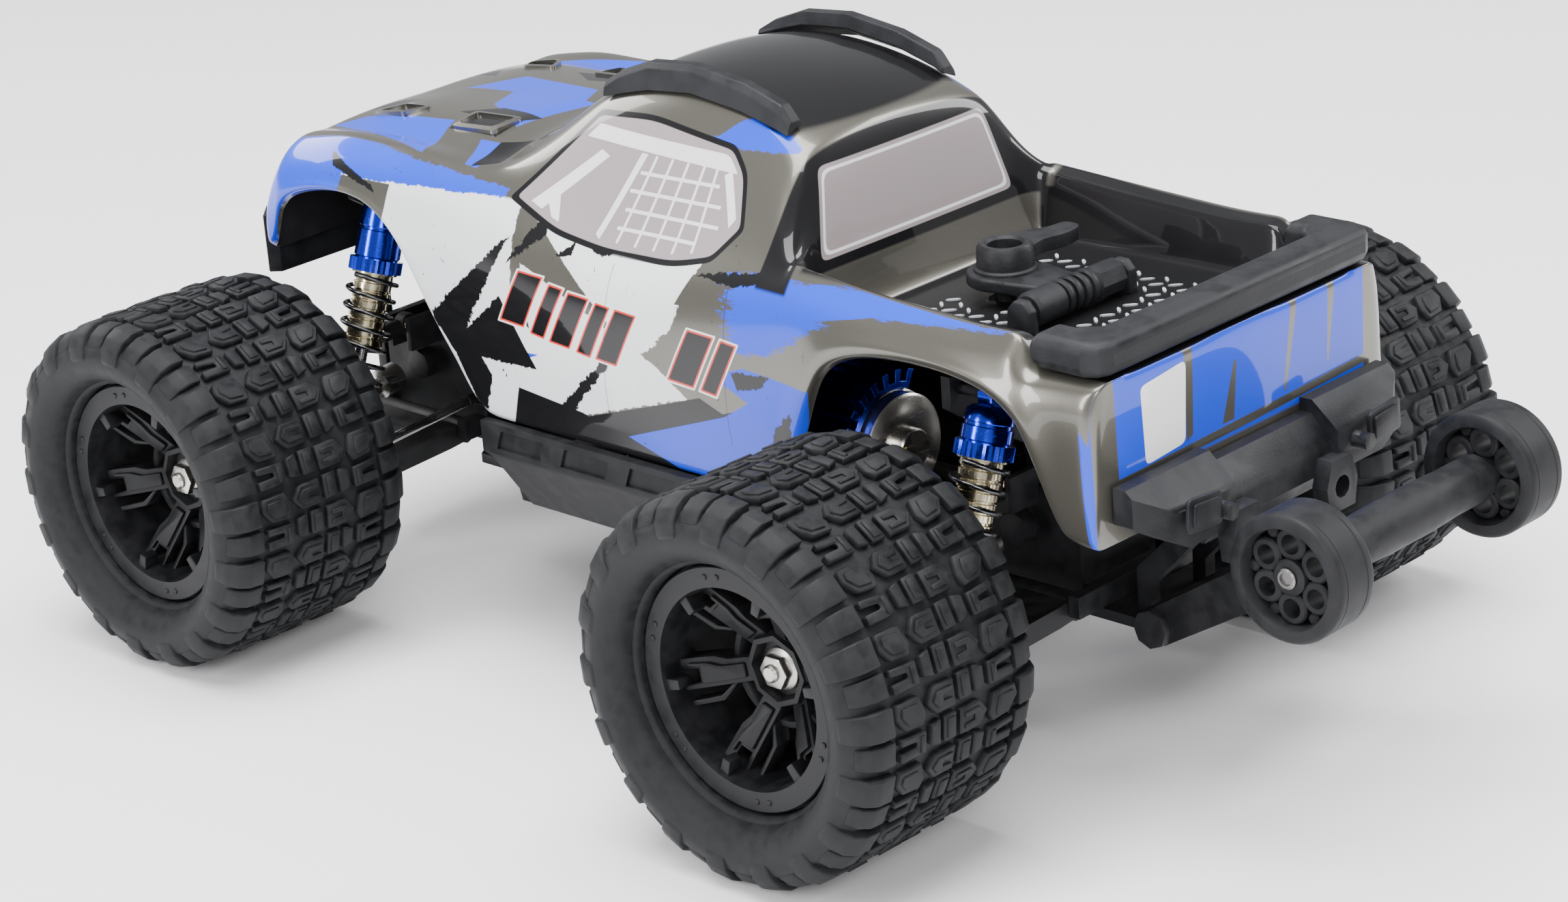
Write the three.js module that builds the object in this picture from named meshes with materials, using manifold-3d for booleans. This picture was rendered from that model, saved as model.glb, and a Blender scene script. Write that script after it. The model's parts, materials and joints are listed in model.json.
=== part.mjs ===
// Remote-controlled monster truck standing on its four wheels.
// Millimetres, +Z up, front towards -Y, the truck's left side towards +X.
// Inside the truck group the datum is half way between the axles, AXLE_Z below the wheel centres.
// The group is moved last, so that the tyres stand on z = 0 and the origin is under the box centre.

import * as THREE from 'three';
import { mergeVertices } from 'three/addons/utils/BufferGeometryUtils.js';
import Module from 'manifold-3d';

const wasm = await Module();
wasm.setup();

// ---- Driving dimensions ----

const WHEELBASE = 200;
const AXLE_Z = 44;
const WHEEL_X = 85.5;

const TYRE_RADIUS = 44;
const TYRE_HALF_WIDTH = 27.7;
const TYRE_WALL = 4;
const RIM_RADIUS = 27.3;
const RIM_HALF_WIDTH = 20.2;
const RIM_FLANGE = 2.9;
const BARREL_RADIUS = 24.1;
const BARREL_WALL = 2.3;
const SPOKES = 6;
const HUB_RADIUS = 9;
const HUB_INNER_X = 1;
const HUB_OUTER_X = 6;

const STUB_RADIUS = 3;
const THREAD_RADIUS = 2;
const HEX_ACROSS_FLATS = 12;
const NUT_ACROSS_FLATS = 7;
const BEARING_HOUSING_RADIUS = 8;

const ARM_INNER_X = 20;
const ARM_INNER_Z = 37;
const ARM_OUTER_Z = 33;
const ARM_FRONT_REACH = 14.5;
const ARM_REAR_REACH = 20;
const ARM_THICKNESS = 5;
const PIN_RADIUS = 1.5;
const LINK_HEIGHT = 25;
const LINK_RADIUS = 1.5;
const KNUCKLE_HALF_HEIGHT = 7.5;
const KNUCKLE_RADIUS = 5;
const CARRIER_HALF = 7;
const STEERING_LEVER = 25;
const TIE_ROD_INNER_X = 15;
const TIE_ROD_RADIUS = 1.3;
const TIE_ROD_END_RADIUS = 2.2;
const TIE_ROD_END_HALF = 1.6;

const SHOCK_OFFSET_Y = 14;
const SHOCK_FOOT_X = 54.5;
const SHOCK_FOOT_Z = 42;
const SHOCK_BARREL_RADIUS = 4.8;
const SHOCK_COLLAR_RADIUS = 6.6;
const SHOCK_ROD_RADIUS = 1.6;
const SHOCK_EYE_RADIUS = 3.4;
const SHOCK_EYE_WIDTH = 4;
const SHOCK_COLLAR_LENGTH = 3;
const ROD_ENGAGEMENT = 4;
const FRONT_SHOCK = { topX: 31.5, topZ: 104, capLength: 15, barrelLength: 19 };
const REAR_SHOCK = { topX: 36.5, topZ: 90.5, capLength: 7, barrelLength: 15 };

const DRIVE_Z = 50;
const DRIVESHAFT_RADIUS = 2.2;
const CENTRE_SHAFT_RADIUS = 2.5;
const GEAR_MODULE = 0.8;
const SPUR_TEETH = 32;
const PINION_TEETH = 13;
const GEAR_WIDTH = 5;
const SPUR_Y = 27;
const MOTOR_X = 14;
const MOTOR_RADIUS = 13;
const MOTOR_LENGTH = 30;
const HEATSINK_WALL = 1.6;
const HEATSINK_FIN = 2.9;

const CHASSIS_BASE_Z = 33;
const CHASSIS_WALL = 2.5;
const CHASSIS_FLOOR_HALF = 38;
const CHASSIS_SPINE_HALF = 14.5;
const GUARD_X = 52.3;
const GUARD_TOP_Z = 59.3;
const GUARD_LOW_Z = 51.5;
const GUARD_FRONT_Y = -36;
const GUARD_REAR_Y = 60;

const BULKHEAD_HALF_WIDTH = 13;
const BULKHEAD_HALF_LENGTH = 16;
const TOWER_THICKNESS = 2.6;

const SHELL_WALL = 1.4;
const BED_FLOOR_Z = 97;
const BED_TOP_Z = 103.5;
const POST_OFFSET_Y = -13;
const POST_RADIUS = 2.4;
const POST_HOLE_RADIUS = 3.4;
const LATCH_PIVOT_OFFSET_Y = 6;
const LATCH_PIVOT_Z = 101.6;
const LATCH_HALF_LENGTH = 15;
const BED_RAIL_HEIGHT = 8;
const BED_RAIL_WIDTH = 10;

const WHEELIE_OFFSET_Y = 92;
const WHEELIE_Z = 67.5;
const WHEELIE_RADIUS = 14;
const WHEELIE_WIDTH = 12;
const WHEELIE_WHEEL_X = 34;
const WHEELIE_BOSS_OFFSET_Y = 39.5;
const WHEELIE_BOSS_Z = 36;

const FRONT_BUMPER_OFFSET_Y = -25;
const FRONT_BUMPER_LOW_Z = 80;
const FRONT_BUMPER_TOP_Z = 95;
const FRONT_BUMPER_HALF_WIDTH = 46;
const REAR_BUMPER_OFFSET_Y = 53.5;
const REAR_BUMPER_HALF_WIDTH = 46;

// Roof rail: inner and outer edge, and its height at lengthwise places.
const ROOF_RAIL_INNER_X = 23.4;
const ROOF_RAIL_OUTER_X = 28.4;
const ROOF_RAIL_STATIONS = [[-9, 1.2], [-3, 2.6], [6, 3.4], [20, 3.6], [36, 3.6], [47, 3.4], [50, 1.2]];

// The shell's lines are written for this half wheelbase; its ends move with the axles.
const DOOR_FRONT_Y = -37;
const DOOR_REAR_Y = 60;
const NOMINAL_HALF_BASE = 100;

const GAP = 0.3;
const RUNNING_CLEARANCE = 0.35;

// ---- Sizes that follow from them ----

const FRONT_AXLE_Y = -WHEELBASE / 2;
const REAR_AXLE_Y = WHEELBASE / 2;
const ARM_OUTER_X = WHEEL_X - 24.5;
const KINGPIN_X = WHEEL_X - 18.5;
const HOUSING_INNER_X = KINGPIN_X - 1;
const HOUSING_OUTER_X = WHEEL_X - 6;
const BALL_X = KINGPIN_X - 6;
const LINK_INNER_X = ARM_INNER_X - 0.5;
const LINK_OUTER_X = ARM_OUTER_X - 0.5;
const RACK_Y = FRONT_AXLE_Y + STEERING_LEVER;
const SPUR_RADIUS = (SPUR_TEETH * GEAR_MODULE) / 2;
const PINION_RADIUS = (PINION_TEETH * GEAR_MODULE) / 2;
const MOTOR_Z = DRIVE_Z + Math.sqrt((SPUR_RADIUS + PINION_RADIUS) ** 2 - MOTOR_X ** 2);
const CHASSIS_TOP_Z = CHASSIS_BASE_Z + CHASSIS_WALL;
const MOTOR_PLATE_Y = SPUR_Y + GEAR_WIDTH / 2 + 4;
const POST_Y = REAR_AXLE_Y + POST_OFFSET_Y;
const LATCH_PIVOT_Y = REAR_AXLE_Y + LATCH_PIVOT_OFFSET_Y;
const WHEELIE_Y = REAR_AXLE_Y + WHEELIE_OFFSET_Y;
const WHEELIE_BOSS_Y = REAR_AXLE_Y + WHEELIE_BOSS_OFFSET_Y;
const TUBE_HALF = WHEELIE_WHEEL_X - WHEELIE_WIDTH / 2 - 0.6;
const SPINE_FRONT_Y = FRONT_AXLE_Y - 22;
const SPINE_REAR_Y = REAR_AXLE_Y + 34.5;
const MOTOR_START_Y = MOTOR_PLATE_Y + 2.5 + GAP;
const RACK_Z = ARM_INNER_Z + 5;
const BULKHEAD_TOP_Z = ARM_INNER_Z + LINK_HEIGHT - 2;
const FRONT_BUMPER_Y = FRONT_AXLE_Y + FRONT_BUMPER_OFFSET_Y;
const TAIL_Y = REAR_AXLE_Y + REAR_BUMPER_OFFSET_Y;

// ---- Materials ----

const paint = (color, roughness, metalness) =>
  new THREE.MeshStandardMaterial({ color, roughness, metalness });

const BLACK_PLASTIC = paint(0x1c1d1f, 0.62, 0);
const RUBBER = paint(0x202124, 0.85, 0);
const STEEL = paint(0xb9b7b2, 0.28, 1);
const BLUE_ANODISED = paint(0x2238c8, 0.25, 0.9);
const SHELL_PAINT = paint(0x3f6ee6, 0.18, 0);
const MOTOR_METAL = paint(0x8d9096, 0.35, 1);
const BATTERY_WRAP = paint(0x8a8f98, 0.55, 0);

// ---- Geometry helpers ----

function signedVolume(positions, triangles) {
  const [a, b, c] = [new THREE.Vector3(), new THREE.Vector3(), new THREE.Vector3()];
  let volume = 0;
  for (let i = 0; i < triangles.length; i += 3) {
    a.fromArray(positions, 3 * triangles[i]);
    b.fromArray(positions, 3 * triangles[i + 1]);
    c.fromArray(positions, 3 * triangles[i + 2]);
    volume += a.dot(b.cross(c)) / 6;
  }
  return volume;
}

function reverseFaces(triangles) {
  for (let i = 0; i < triangles.length; i += 3) {
    [triangles[i], triangles[i + 1]] = [triangles[i + 1], triangles[i]];
  }
}

function toSolid(geometry) {
  const bare = geometry.clone();
  for (const name of Object.keys(bare.attributes)) {
    if (name !== 'position') bare.deleteAttribute(name);
  }
  const merged = mergeVertices(bare, 1e-4);
  const vertProperties = new Float32Array(merged.attributes.position.array);
  const triVerts = new Uint32Array(merged.index.array);
  if (signedVolume(vertProperties, triVerts) < 0) reverseFaces(triVerts);
  return new wasm.Manifold(new wasm.Mesh({ numProp: 3, vertProperties, triVerts }));
}

function toGeometry(solid) {
  const mesh = solid.getMesh();
  const geometry = new THREE.BufferGeometry();
  geometry.setAttribute('position', new THREE.BufferAttribute(new Float32Array(mesh.vertProperties), 3));
  geometry.setIndex(new THREE.BufferAttribute(new Uint32Array(mesh.triVerts), 1));
  return geometry;
}

function join(...geometries) {
  return geometries.map(toSolid).reduce((whole, piece) => whole.add(piece));
}

function cut(solid, ...geometries) {
  return geometries.map(toSolid).reduce((whole, piece) => whole.subtract(piece), solid);
}

// A box from its lowest to its highest corner.
function box([x0, y0, z0], [x1, y1, z1]) {
  const geometry = new THREE.BoxGeometry(x1 - x0, y1 - y0, z1 - z0);
  return geometry.translate((x0 + x1) / 2, (y0 + y1) / 2, (z0 + z1) / 2);
}

// A round bar between two points; a different end radius makes it taper.
function bar(radius, from, to, sides = 8, endRadius = radius) {
  const start = new THREE.Vector3(...from);
  const end = new THREE.Vector3(...to);
  const geometry = new THREE.CylinderGeometry(endRadius, radius, start.distanceTo(end), sides);
  const direction = end.clone().sub(start).normalize();
  const turn = new THREE.Quaternion().setFromUnitVectors(new THREE.Vector3(0, 1, 0), direction);
  geometry.applyQuaternion(turn);
  return geometry.translate(...start.add(end).multiplyScalar(0.5).toArray());
}

const outline = (points) => new THREE.Shape(points.map(([u, v]) => new THREE.Vector2(u, v)));
const flat = (depth) => ({ depth, bevelEnabled: false });

// Outline in (x, y), thick along Z from z0 to z1.
function plateZ(points, z0, z1) {
  return new THREE.ExtrudeGeometry(outline(points), flat(z1 - z0)).translate(0, 0, z0);
}

// Outline in (x, z), thick along Y from y0 to y1.
function plateY(points, y0, y1) {
  const geometry = new THREE.ExtrudeGeometry(outline(points), flat(y1 - y0));
  return geometry.rotateX(Math.PI / 2).translate(0, y1, 0);
}

// Outline in (y, z), thick along X from x0 to x1.
function plateX(points, x0, x1) {
  const geometry = new THREE.ExtrudeGeometry(outline(points), flat(x1 - x0));
  const axes = new THREE.Matrix4().makeBasis(
    new THREE.Vector3(0, 1, 0),
    new THREE.Vector3(0, 0, 1),
    new THREE.Vector3(1, 0, 0),
  );
  return geometry.applyMatrix4(axes).translate(x0, 0, 0);
}

// A closed outline of (distance along X, radius) turned about the X axis.
function turnedX(profile, sides) {
  const points = [...profile, profile[0]].map(([x, r]) => new THREE.Vector2(r, x));
  return new THREE.LatheGeometry(points, sides).rotateZ(-Math.PI / 2);
}

function mirroredX(geometry) {
  const flipped = mergeVertices(geometry).scale(-1, 1, 1);
  reverseFaces(flipped.index.array);
  return flipped;
}

const bothSides = (geometries) => geometries.flatMap((geometry) => [geometry, mirroredX(geometry)]);

const truck = new THREE.Group();

function addPart(name, solid, material) {
  const geometry = solid.isBufferGeometry ? solid : toGeometry(solid);
  geometry.computeVertexNormals();
  const mesh = new THREE.Mesh(geometry, material);
  mesh.name = name;
  truck.add(mesh);
}

// A corner piece is modelled on the left with its axle at y = 0.
const CORNERS = [
  { name: 'front_left', side: 1, axleY: FRONT_AXLE_Y, front: true },
  { name: 'front_right', side: -1, axleY: FRONT_AXLE_Y, front: true },
  { name: 'rear_left', side: 1, axleY: REAR_AXLE_Y, front: false },
  { name: 'rear_right', side: -1, axleY: REAR_AXLE_Y, front: false },
];

function addCornerPart(corner, name, solid, material) {
  let geometry = toGeometry(solid);
  if (corner.side < 0) geometry = mirroredX(geometry);
  geometry.translate(0, corner.axleY, 0);
  addPart(`${corner.name}_${name}`, geometry, material);
}

// ---- Wheels ----

// The tyre is a hollow ring, open towards the rim, with its beads seated behind the rim flanges.
function tyre() {
  const beadX = RIM_HALF_WIDTH - RIM_FLANGE - GAP;
  const seat = BARREL_RADIUS + GAP;
  const sidewallRadius = (TYRE_RADIUS + RIM_RADIUS) / 2;
  const half = [
    [beadX - 3, seat],
    [beadX, seat],
    [beadX, RIM_RADIUS + 0.6],
    [RIM_HALF_WIDTH + 0.8, RIM_RADIUS + 1],
    [TYRE_HALF_WIDTH, sidewallRadius],
    [TYRE_HALF_WIDTH - 1.6, TYRE_RADIUS - 3.4],
    [TYRE_HALF_WIDTH - 5, TYRE_RADIUS],
  ];
  const cavityHalf = [
    [TYRE_HALF_WIDTH - 7, TYRE_RADIUS - TYRE_WALL],
    [TYRE_HALF_WIDTH - TYRE_WALL, sidewallRadius],
  ];
  const flip = (points) => points.map(([x, r]) => [-x, r]).reverse();
  return toSolid(turnedX([...half, ...flip(half), ...flip(cavityHalf), ...cavityHalf], 20));
}

function rim() {
  const inner = BARREL_RADIUS - BARREL_WALL;
  const flangeX = RIM_HALF_WIDTH - RIM_FLANGE;
  const barrel = turnedX([
    [-RIM_HALF_WIDTH, inner],
    [RIM_HALF_WIDTH, inner],
    [RIM_HALF_WIDTH, RIM_RADIUS],
    [flangeX, RIM_RADIUS],
    [flangeX, BARREL_RADIUS],
    [-flangeX, BARREL_RADIUS],
    [-flangeX, RIM_RADIUS],
    [-RIM_HALF_WIDTH, RIM_RADIUS],
  ], 20);
  let solid = join(barrel, bar(HUB_RADIUS, [HUB_INNER_X, 0, 0], [HUB_OUTER_X, 0, 0], 12));
  for (let i = 0; i < SPOKES; i++) {
    const spoke = plateY([
      [HUB_INNER_X + 0.6, HUB_RADIUS - 3],
      [HUB_OUTER_X - 0.6, HUB_RADIUS - 3],
      [RIM_HALF_WIDTH - 2, inner + 1],
      [RIM_HALF_WIDTH - 8, inner + 1],
    ], -3.4, 3.4);
    spoke.rotateX((i * 2 * Math.PI) / SPOKES);
    solid = solid.add(toSolid(spoke));
  }
  const bore = THREAD_RADIUS + RUNNING_CLEARANCE;
  return cut(solid, bar(bore, [HUB_INNER_X - 2, 0, 0], [HUB_OUTER_X + 2, 0, 0], 12));
}

// Stub axle with its drive cup, wheel hex, thread and flanged nut, in wheel coordinates.
function wheelAxle() {
  const hexRadius = HEX_ACROSS_FLATS / 2 / Math.cos(Math.PI / 6);
  const nutRadius = NUT_ACROSS_FLATS / 2 / Math.cos(Math.PI / 6);
  const cupX = HOUSING_INNER_X - WHEEL_X - GAP;
  const hexX = HOUSING_OUTER_X - WHEEL_X + GAP;
  const nutX = HUB_OUTER_X + GAP;
  return join(
    bar(STUB_RADIUS + 1.2, [cupX - 3.5, 0, 0], [cupX, 0, 0]),
    bar(STUB_RADIUS, [cupX - 1, 0, 0], [hexX + 1, 0, 0]),
    bar(hexRadius, [hexX, 0, 0], [HUB_INNER_X - GAP, 0, 0], 6),
    bar(THREAD_RADIUS, [0, 0, 0], [nutX + 4.4, 0, 0]),
    bar(nutRadius + 0.7, [nutX, 0, 0], [nutX + 1, 0, 0]),
    bar(nutRadius, [nutX + 0.5, 0, 0], [nutX + 3.6, 0, 0], 6),
  );
}

const TYRE = tyre();
const RIM = rim();
const WHEEL_AXLE = wheelAxle();

for (const corner of CORNERS) {
  for (const [name, solid, material] of [
    ['tyre', TYRE, RUBBER],
    ['rim', RIM, BLACK_PLASTIC],
    ['wheel_axle', WHEEL_AXLE, STEEL],
  ]) {
    const placed = toGeometry(solid).translate(WHEEL_X, 0, AXLE_Z);
    addCornerPart(corner, name, toSolid(placed), material);
  }
}

// ---- Suspension ----

const eye = (radius, x, y0, y1, z) => bar(radius, [x, y0, z], [x, y1, z]);

// A-shaped lower arm with the outer hinge pin and the two ears for the shock's foot.
function lowerArm() {
  const half = ARM_THICKNESS / 2;
  const forkIn = 7.6;
  const forkOut = 11.2;
  const front = -ARM_FRONT_REACH;
  const rear = ARM_REAR_REACH;
  const earIn = SHOCK_OFFSET_Y - SHOCK_EYE_WIDTH / 2 - 0.4;
  const earOut = SHOCK_OFFSET_Y + SHOCK_EYE_WIDTH / 2 + 0.4;
  const earEnd = earOut + 1.2;
  const blade = plateZ([
    [ARM_INNER_X, front], [ARM_INNER_X + 6, front], [ARM_OUTER_X - 5, -forkOut],
    [ARM_OUTER_X - 5, earEnd - 0.4], [ARM_INNER_X + 6, rear], [ARM_INNER_X, rear],
  ], -half, half);
  const slope = Math.atan2(ARM_INNER_Z - ARM_OUTER_Z, ARM_OUTER_X - ARM_INNER_X);
  blade.translate(-ARM_INNER_X, 0, 0).rotateY(slope).translate(ARM_INNER_X, 0, ARM_INNER_Z);
  const earBase = ARM_OUTER_Z - half;
  const ear = (y0, y1) => plateY([
    [SHOCK_FOOT_X - 5.5, earBase], [SHOCK_FOOT_X - 0.5, earBase],
    [SHOCK_FOOT_X + 2.6, SHOCK_FOOT_Z - 1], [SHOCK_FOOT_X + 1, SHOCK_FOOT_Z + 2.6],
    [SHOCK_FOOT_X - 2.4, SHOCK_FOOT_Z + 2.2],
  ], y0, y1);
  const fork = [-forkOut, forkIn].map((y) => join(
    eye(half + 0.6, ARM_OUTER_X, y, y + forkOut - forkIn, ARM_OUTER_Z),
    box([ARM_OUTER_X - 7, y, ARM_OUTER_Z - half], [ARM_OUTER_X, y + forkOut - forkIn, ARM_OUTER_Z + half]),
  ));
  let solid = join(
    blade,
    eye(half + 0.8, ARM_INNER_X, front, rear, ARM_INNER_Z),
    eye(PIN_RADIUS, ARM_OUTER_X, -forkIn - 1, forkIn + 1, ARM_OUTER_Z),
    ear(earIn - 1.4, earIn),
    ear(earOut, earEnd),
  );
  for (const prong of fork) solid = solid.add(prong);
  const window = plateZ([
    [ARM_INNER_X + 9, front + 5], [ARM_OUTER_X - 15, -forkOut + 5],
    [ARM_OUTER_X - 15, forkOut - 5], [ARM_INNER_X + 9, rear - 7],
  ], ARM_OUTER_Z - 9, ARM_INNER_Z + 9);
  const pivotBore = eye(PIN_RADIUS + RUNNING_CLEARANCE, ARM_INNER_X, front - 1, rear + 1, ARM_INNER_Z);
  return cut(solid, window, pivotBore);
}

// Upper link: a steel rod with an eye at each end, parallel to the lower arm.
function upperLink() {
  const innerZ = ARM_INNER_Z + LINK_HEIGHT;
  const outerZ = ARM_OUTER_Z + LINK_HEIGHT;
  return join(
    bar(LINK_RADIUS, [LINK_INNER_X, 0, innerZ], [LINK_OUTER_X, 0, outerZ]),
    eye(2.9, LINK_INNER_X, -2.4, 2.4, innerZ),
    eye(2.9, LINK_OUTER_X, -2.4, 2.4, outerZ),
  );
}


const pinBlock = () => [
  eye(3.4, ARM_OUTER_X, -CARRIER_HALF, CARRIER_HALF, ARM_OUTER_Z),
  box(
    [ARM_OUTER_X - 3.4, -CARRIER_HALF, ARM_OUTER_Z],
    [ARM_OUTER_X + 3.4, CARRIER_HALF, ARM_OUTER_Z + 3],
  ),
];
const pinBore = () => eye(
  PIN_RADIUS + RUNNING_CLEARANCE, ARM_OUTER_X, -CARRIER_HALF - 1, CARRIER_HALF + 1, ARM_OUTER_Z,
);
const housing = () => bar(
  BEARING_HOUSING_RADIUS, [HOUSING_INNER_X, 0, AXLE_Z], [HOUSING_OUTER_X, 0, AXLE_Z], 12,
);
const stubBore = () => bar(
  STUB_RADIUS + RUNNING_CLEARANCE, [HOUSING_INNER_X - 12, 0, AXLE_Z], [HOUSING_OUTER_X + 5, 0, AXLE_Z],
);
const linkFork = (linkZ) => [-4.4, 2.8].map((y) => plateY([
  [LINK_OUTER_X - 3, AXLE_Z + 9], [LINK_OUTER_X + 5, AXLE_Z + 9],
  [LINK_OUTER_X + 3, linkZ + 2.4], [LINK_OUTER_X - 2, linkZ + 2.4],
], y, y + 1.6));

// Rear hub carrier: pin block below, bearing housing, and a fork for the upper link.
function hubCarrier() {
  const linkZ = ARM_OUTER_Z + LINK_HEIGHT;
  const web = plateY([
    [ARM_OUTER_X - 3.4, ARM_OUTER_Z + 3], [ARM_OUTER_X + 3.4, ARM_OUTER_Z + 2],
    [HOUSING_INNER_X + 5, AXLE_Z - 5], [HOUSING_INNER_X + 5, AXLE_Z + 7],
    [LINK_OUTER_X + 5, AXLE_Z + 10], [ARM_OUTER_X - 3.4, AXLE_Z + 10],
  ], -CARRIER_HALF, CARRIER_HALF);
  const solid = join(...pinBlock(), web, housing(), ...linkFork(linkZ));
  const cupRoom = bar(STUB_RADIUS + 2.4, [ARM_OUTER_X - 8, 0, AXLE_Z], [HOUSING_INNER_X, 0, AXLE_Z]);
  return cut(solid, pinBore(), stubBore(), cupRoom);
}

// Front C-hub: two jaws above and below the knuckle, joined by a plate with a hole for the shaft.
function cHub() {
  const linkZ = ARM_OUTER_Z + LINK_HEIGHT;
  const jawInner = KNUCKLE_HALF_HEIGHT + GAP;
  const jaw = (z0, z1) => join(
    box([ARM_OUTER_X - 4.5, -4.6, z0], [KINGPIN_X, 4.6, z1]),
    bar(4.6, [KINGPIN_X, 0, z0], [KINGPIN_X, 0, z1]),
  );
  const plateTop = AXLE_Z + jawInner + 3;
  const plate = box(
    [ARM_OUTER_X - 4.5, -CARRIER_HALF, ARM_OUTER_Z - 2],
    [ARM_OUTER_X - 1.5, CARRIER_HALF, plateTop],
  );
  let solid = join(...pinBlock(), plate, ...linkFork(linkZ));
  solid = solid.add(jaw(AXLE_Z + jawInner, plateTop));
  solid = solid.add(jaw(ARM_OUTER_Z - 3, AXLE_Z - jawInner));
  const shaftRoom = bar(6.2, [ARM_OUTER_X - 9, 0, AXLE_Z], [ARM_OUTER_X + 3.6, 0, AXLE_Z]);
  return cut(solid, pinBore(), shaftRoom);
}

// Steering knuckle: kingpin barrel, bearing housing and the steering arm behind it.
function knuckle() {
  const arm = plateZ([
    [KINGPIN_X - 1.8, 3], [KINGPIN_X + 3.2, 3], [KINGPIN_X + 3, 14],
    [KINGPIN_X + 1, STEERING_LEVER - 6.5], [BALL_X + 3.4, STEERING_LEVER - 3.8],
    [BALL_X + 2.8, STEERING_LEVER + 2.2], [BALL_X - 2, STEERING_LEVER + 2.6],
    [BALL_X - 2.4, STEERING_LEVER - 1.5], [KINGPIN_X - 1.8, STEERING_LEVER - 6],
  ], AXLE_Z - 5.8, AXLE_Z - 2.8);
  const solid = join(
    bar(
      KNUCKLE_RADIUS,
      [KINGPIN_X, 0, AXLE_Z - KNUCKLE_HALF_HEIGHT],
      [KINGPIN_X, 0, AXLE_Z + KNUCKLE_HALF_HEIGHT],
    ),
    bar(
      KNUCKLE_HALF_HEIGHT - GAP,
      [KINGPIN_X + 1, 0, AXLE_Z],
      [HOUSING_OUTER_X, 0, AXLE_Z],
      12,
    ),
    arm,
  );
  const cupRoom = bar(STUB_RADIUS + 1.8, [KINGPIN_X - 8, 0, AXLE_Z], [HOUSING_INNER_X, 0, AXLE_Z]);
  return cut(solid, stubBore(), cupRoom);
}

// Driveshaft from beside the differential to just short of the stub axle, with a joint at each end.
function driveshaft() {
  const start = [ARM_INNER_X + 4, 0, DRIVE_Z - 0.5];
  const end = [ARM_OUTER_X - 3.6, 0, AXLE_Z + 1.2];
  const along = (t) => start.map((value, i) => value + (end[i] - value) * t);
  return join(
    bar(DRIVESHAFT_RADIUS, start, end),
    bar(DRIVESHAFT_RADIUS + 1.6, start, along(0.2)),
    bar(DRIVESHAFT_RADIUS + 1.4, along(0.82), end),
  );
}

// Unit vector and helper for points along a shock's axis, measured down from its top pivot.
function shockAxis(shock) {
  const dx = SHOCK_FOOT_X - shock.topX;
  const dz = SHOCK_FOOT_Z - shock.topZ;
  const length = Math.hypot(dx, dz);
  const at = (d) => [shock.topX + (dx / length) * d, SHOCK_OFFSET_Y, shock.topZ + (dz / length) * d];
  return { length, at };
}

// Shock body: top eye, cap, knurled collar and barrel, bored for the rod.
function shockBody(shock) {
  const { at } = shockAxis(shock);
  const halfEye = SHOCK_EYE_WIDTH / 2;
  const capEnd = SHOCK_EYE_RADIUS + shock.capLength;
  const barrelEnd = capEnd + SHOCK_COLLAR_LENGTH + shock.barrelLength;
  const solid = join(
    eye(SHOCK_EYE_RADIUS, shock.topX, SHOCK_OFFSET_Y - halfEye, SHOCK_OFFSET_Y + halfEye, shock.topZ),
    bar(SHOCK_BARREL_RADIUS + 0.9, at(SHOCK_EYE_RADIUS - 1), at(capEnd)),
    bar(SHOCK_COLLAR_RADIUS, at(capEnd - 0.5), at(capEnd + SHOCK_COLLAR_LENGTH), 12),
    bar(SHOCK_BARREL_RADIUS, at(capEnd + SHOCK_COLLAR_LENGTH - 1), at(barrelEnd), 12),
  );
  const pinHole = eye(
    PIN_RADIUS + RUNNING_CLEARANCE, shock.topX, SHOCK_OFFSET_Y - 9, SHOCK_OFFSET_Y + 9, shock.topZ,
  );
  const rodBore = bar(SHOCK_ROD_RADIUS + RUNNING_CLEARANCE, at(capEnd - 1), at(barrelEnd + 1));
  return cut(solid, pinHole, rodBore);
}

// Shock rod: piston rod, lower spring cup and foot eye.
function shockRod(shock) {
  const { length, at } = shockAxis(shock);
  const halfEye = SHOCK_EYE_WIDTH / 2;
  const capEnd = SHOCK_EYE_RADIUS + shock.capLength;
  const barrelEnd = capEnd + SHOCK_COLLAR_LENGTH + shock.barrelLength;
  return join(
    bar(SHOCK_ROD_RADIUS, at(barrelEnd - ROD_ENGAGEMENT), at(length - 1)),
    bar(SHOCK_COLLAR_RADIUS - 0.2, at(length - 9), at(length - 6.5), 12),
    bar(2.1, at(length - 7), at(length - 1)),
    eye(
      SHOCK_EYE_RADIUS - 0.4, SHOCK_FOOT_X,
      SHOCK_OFFSET_Y - halfEye, SHOCK_OFFSET_Y + halfEye, SHOCK_FOOT_Z,
    ),
  );
}

for (const corner of CORNERS) {
  const shock = corner.front ? FRONT_SHOCK : REAR_SHOCK;
  addCornerPart(corner, 'lower_arm', lowerArm(), BLACK_PLASTIC);
  addCornerPart(corner, 'upper_link', upperLink(), STEEL);
  addCornerPart(corner, 'driveshaft', driveshaft(), STEEL);
  addCornerPart(corner, 'shock_body', shockBody(shock), BLUE_ANODISED);
  addCornerPart(corner, 'shock_rod', shockRod(shock), STEEL);
  if (corner.front) {
    addCornerPart(corner, 'c_hub', cHub(), BLACK_PLASTIC);
    addCornerPart(corner, 'knuckle', knuckle(), BLACK_PLASTIC);
  } else {
    addCornerPart(corner, 'hub_carrier', hubCarrier(), BLACK_PLASTIC);
  }
}

// ---- Bulkheads: gearbox, hinge pins, link ears, shock tower ----

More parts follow.
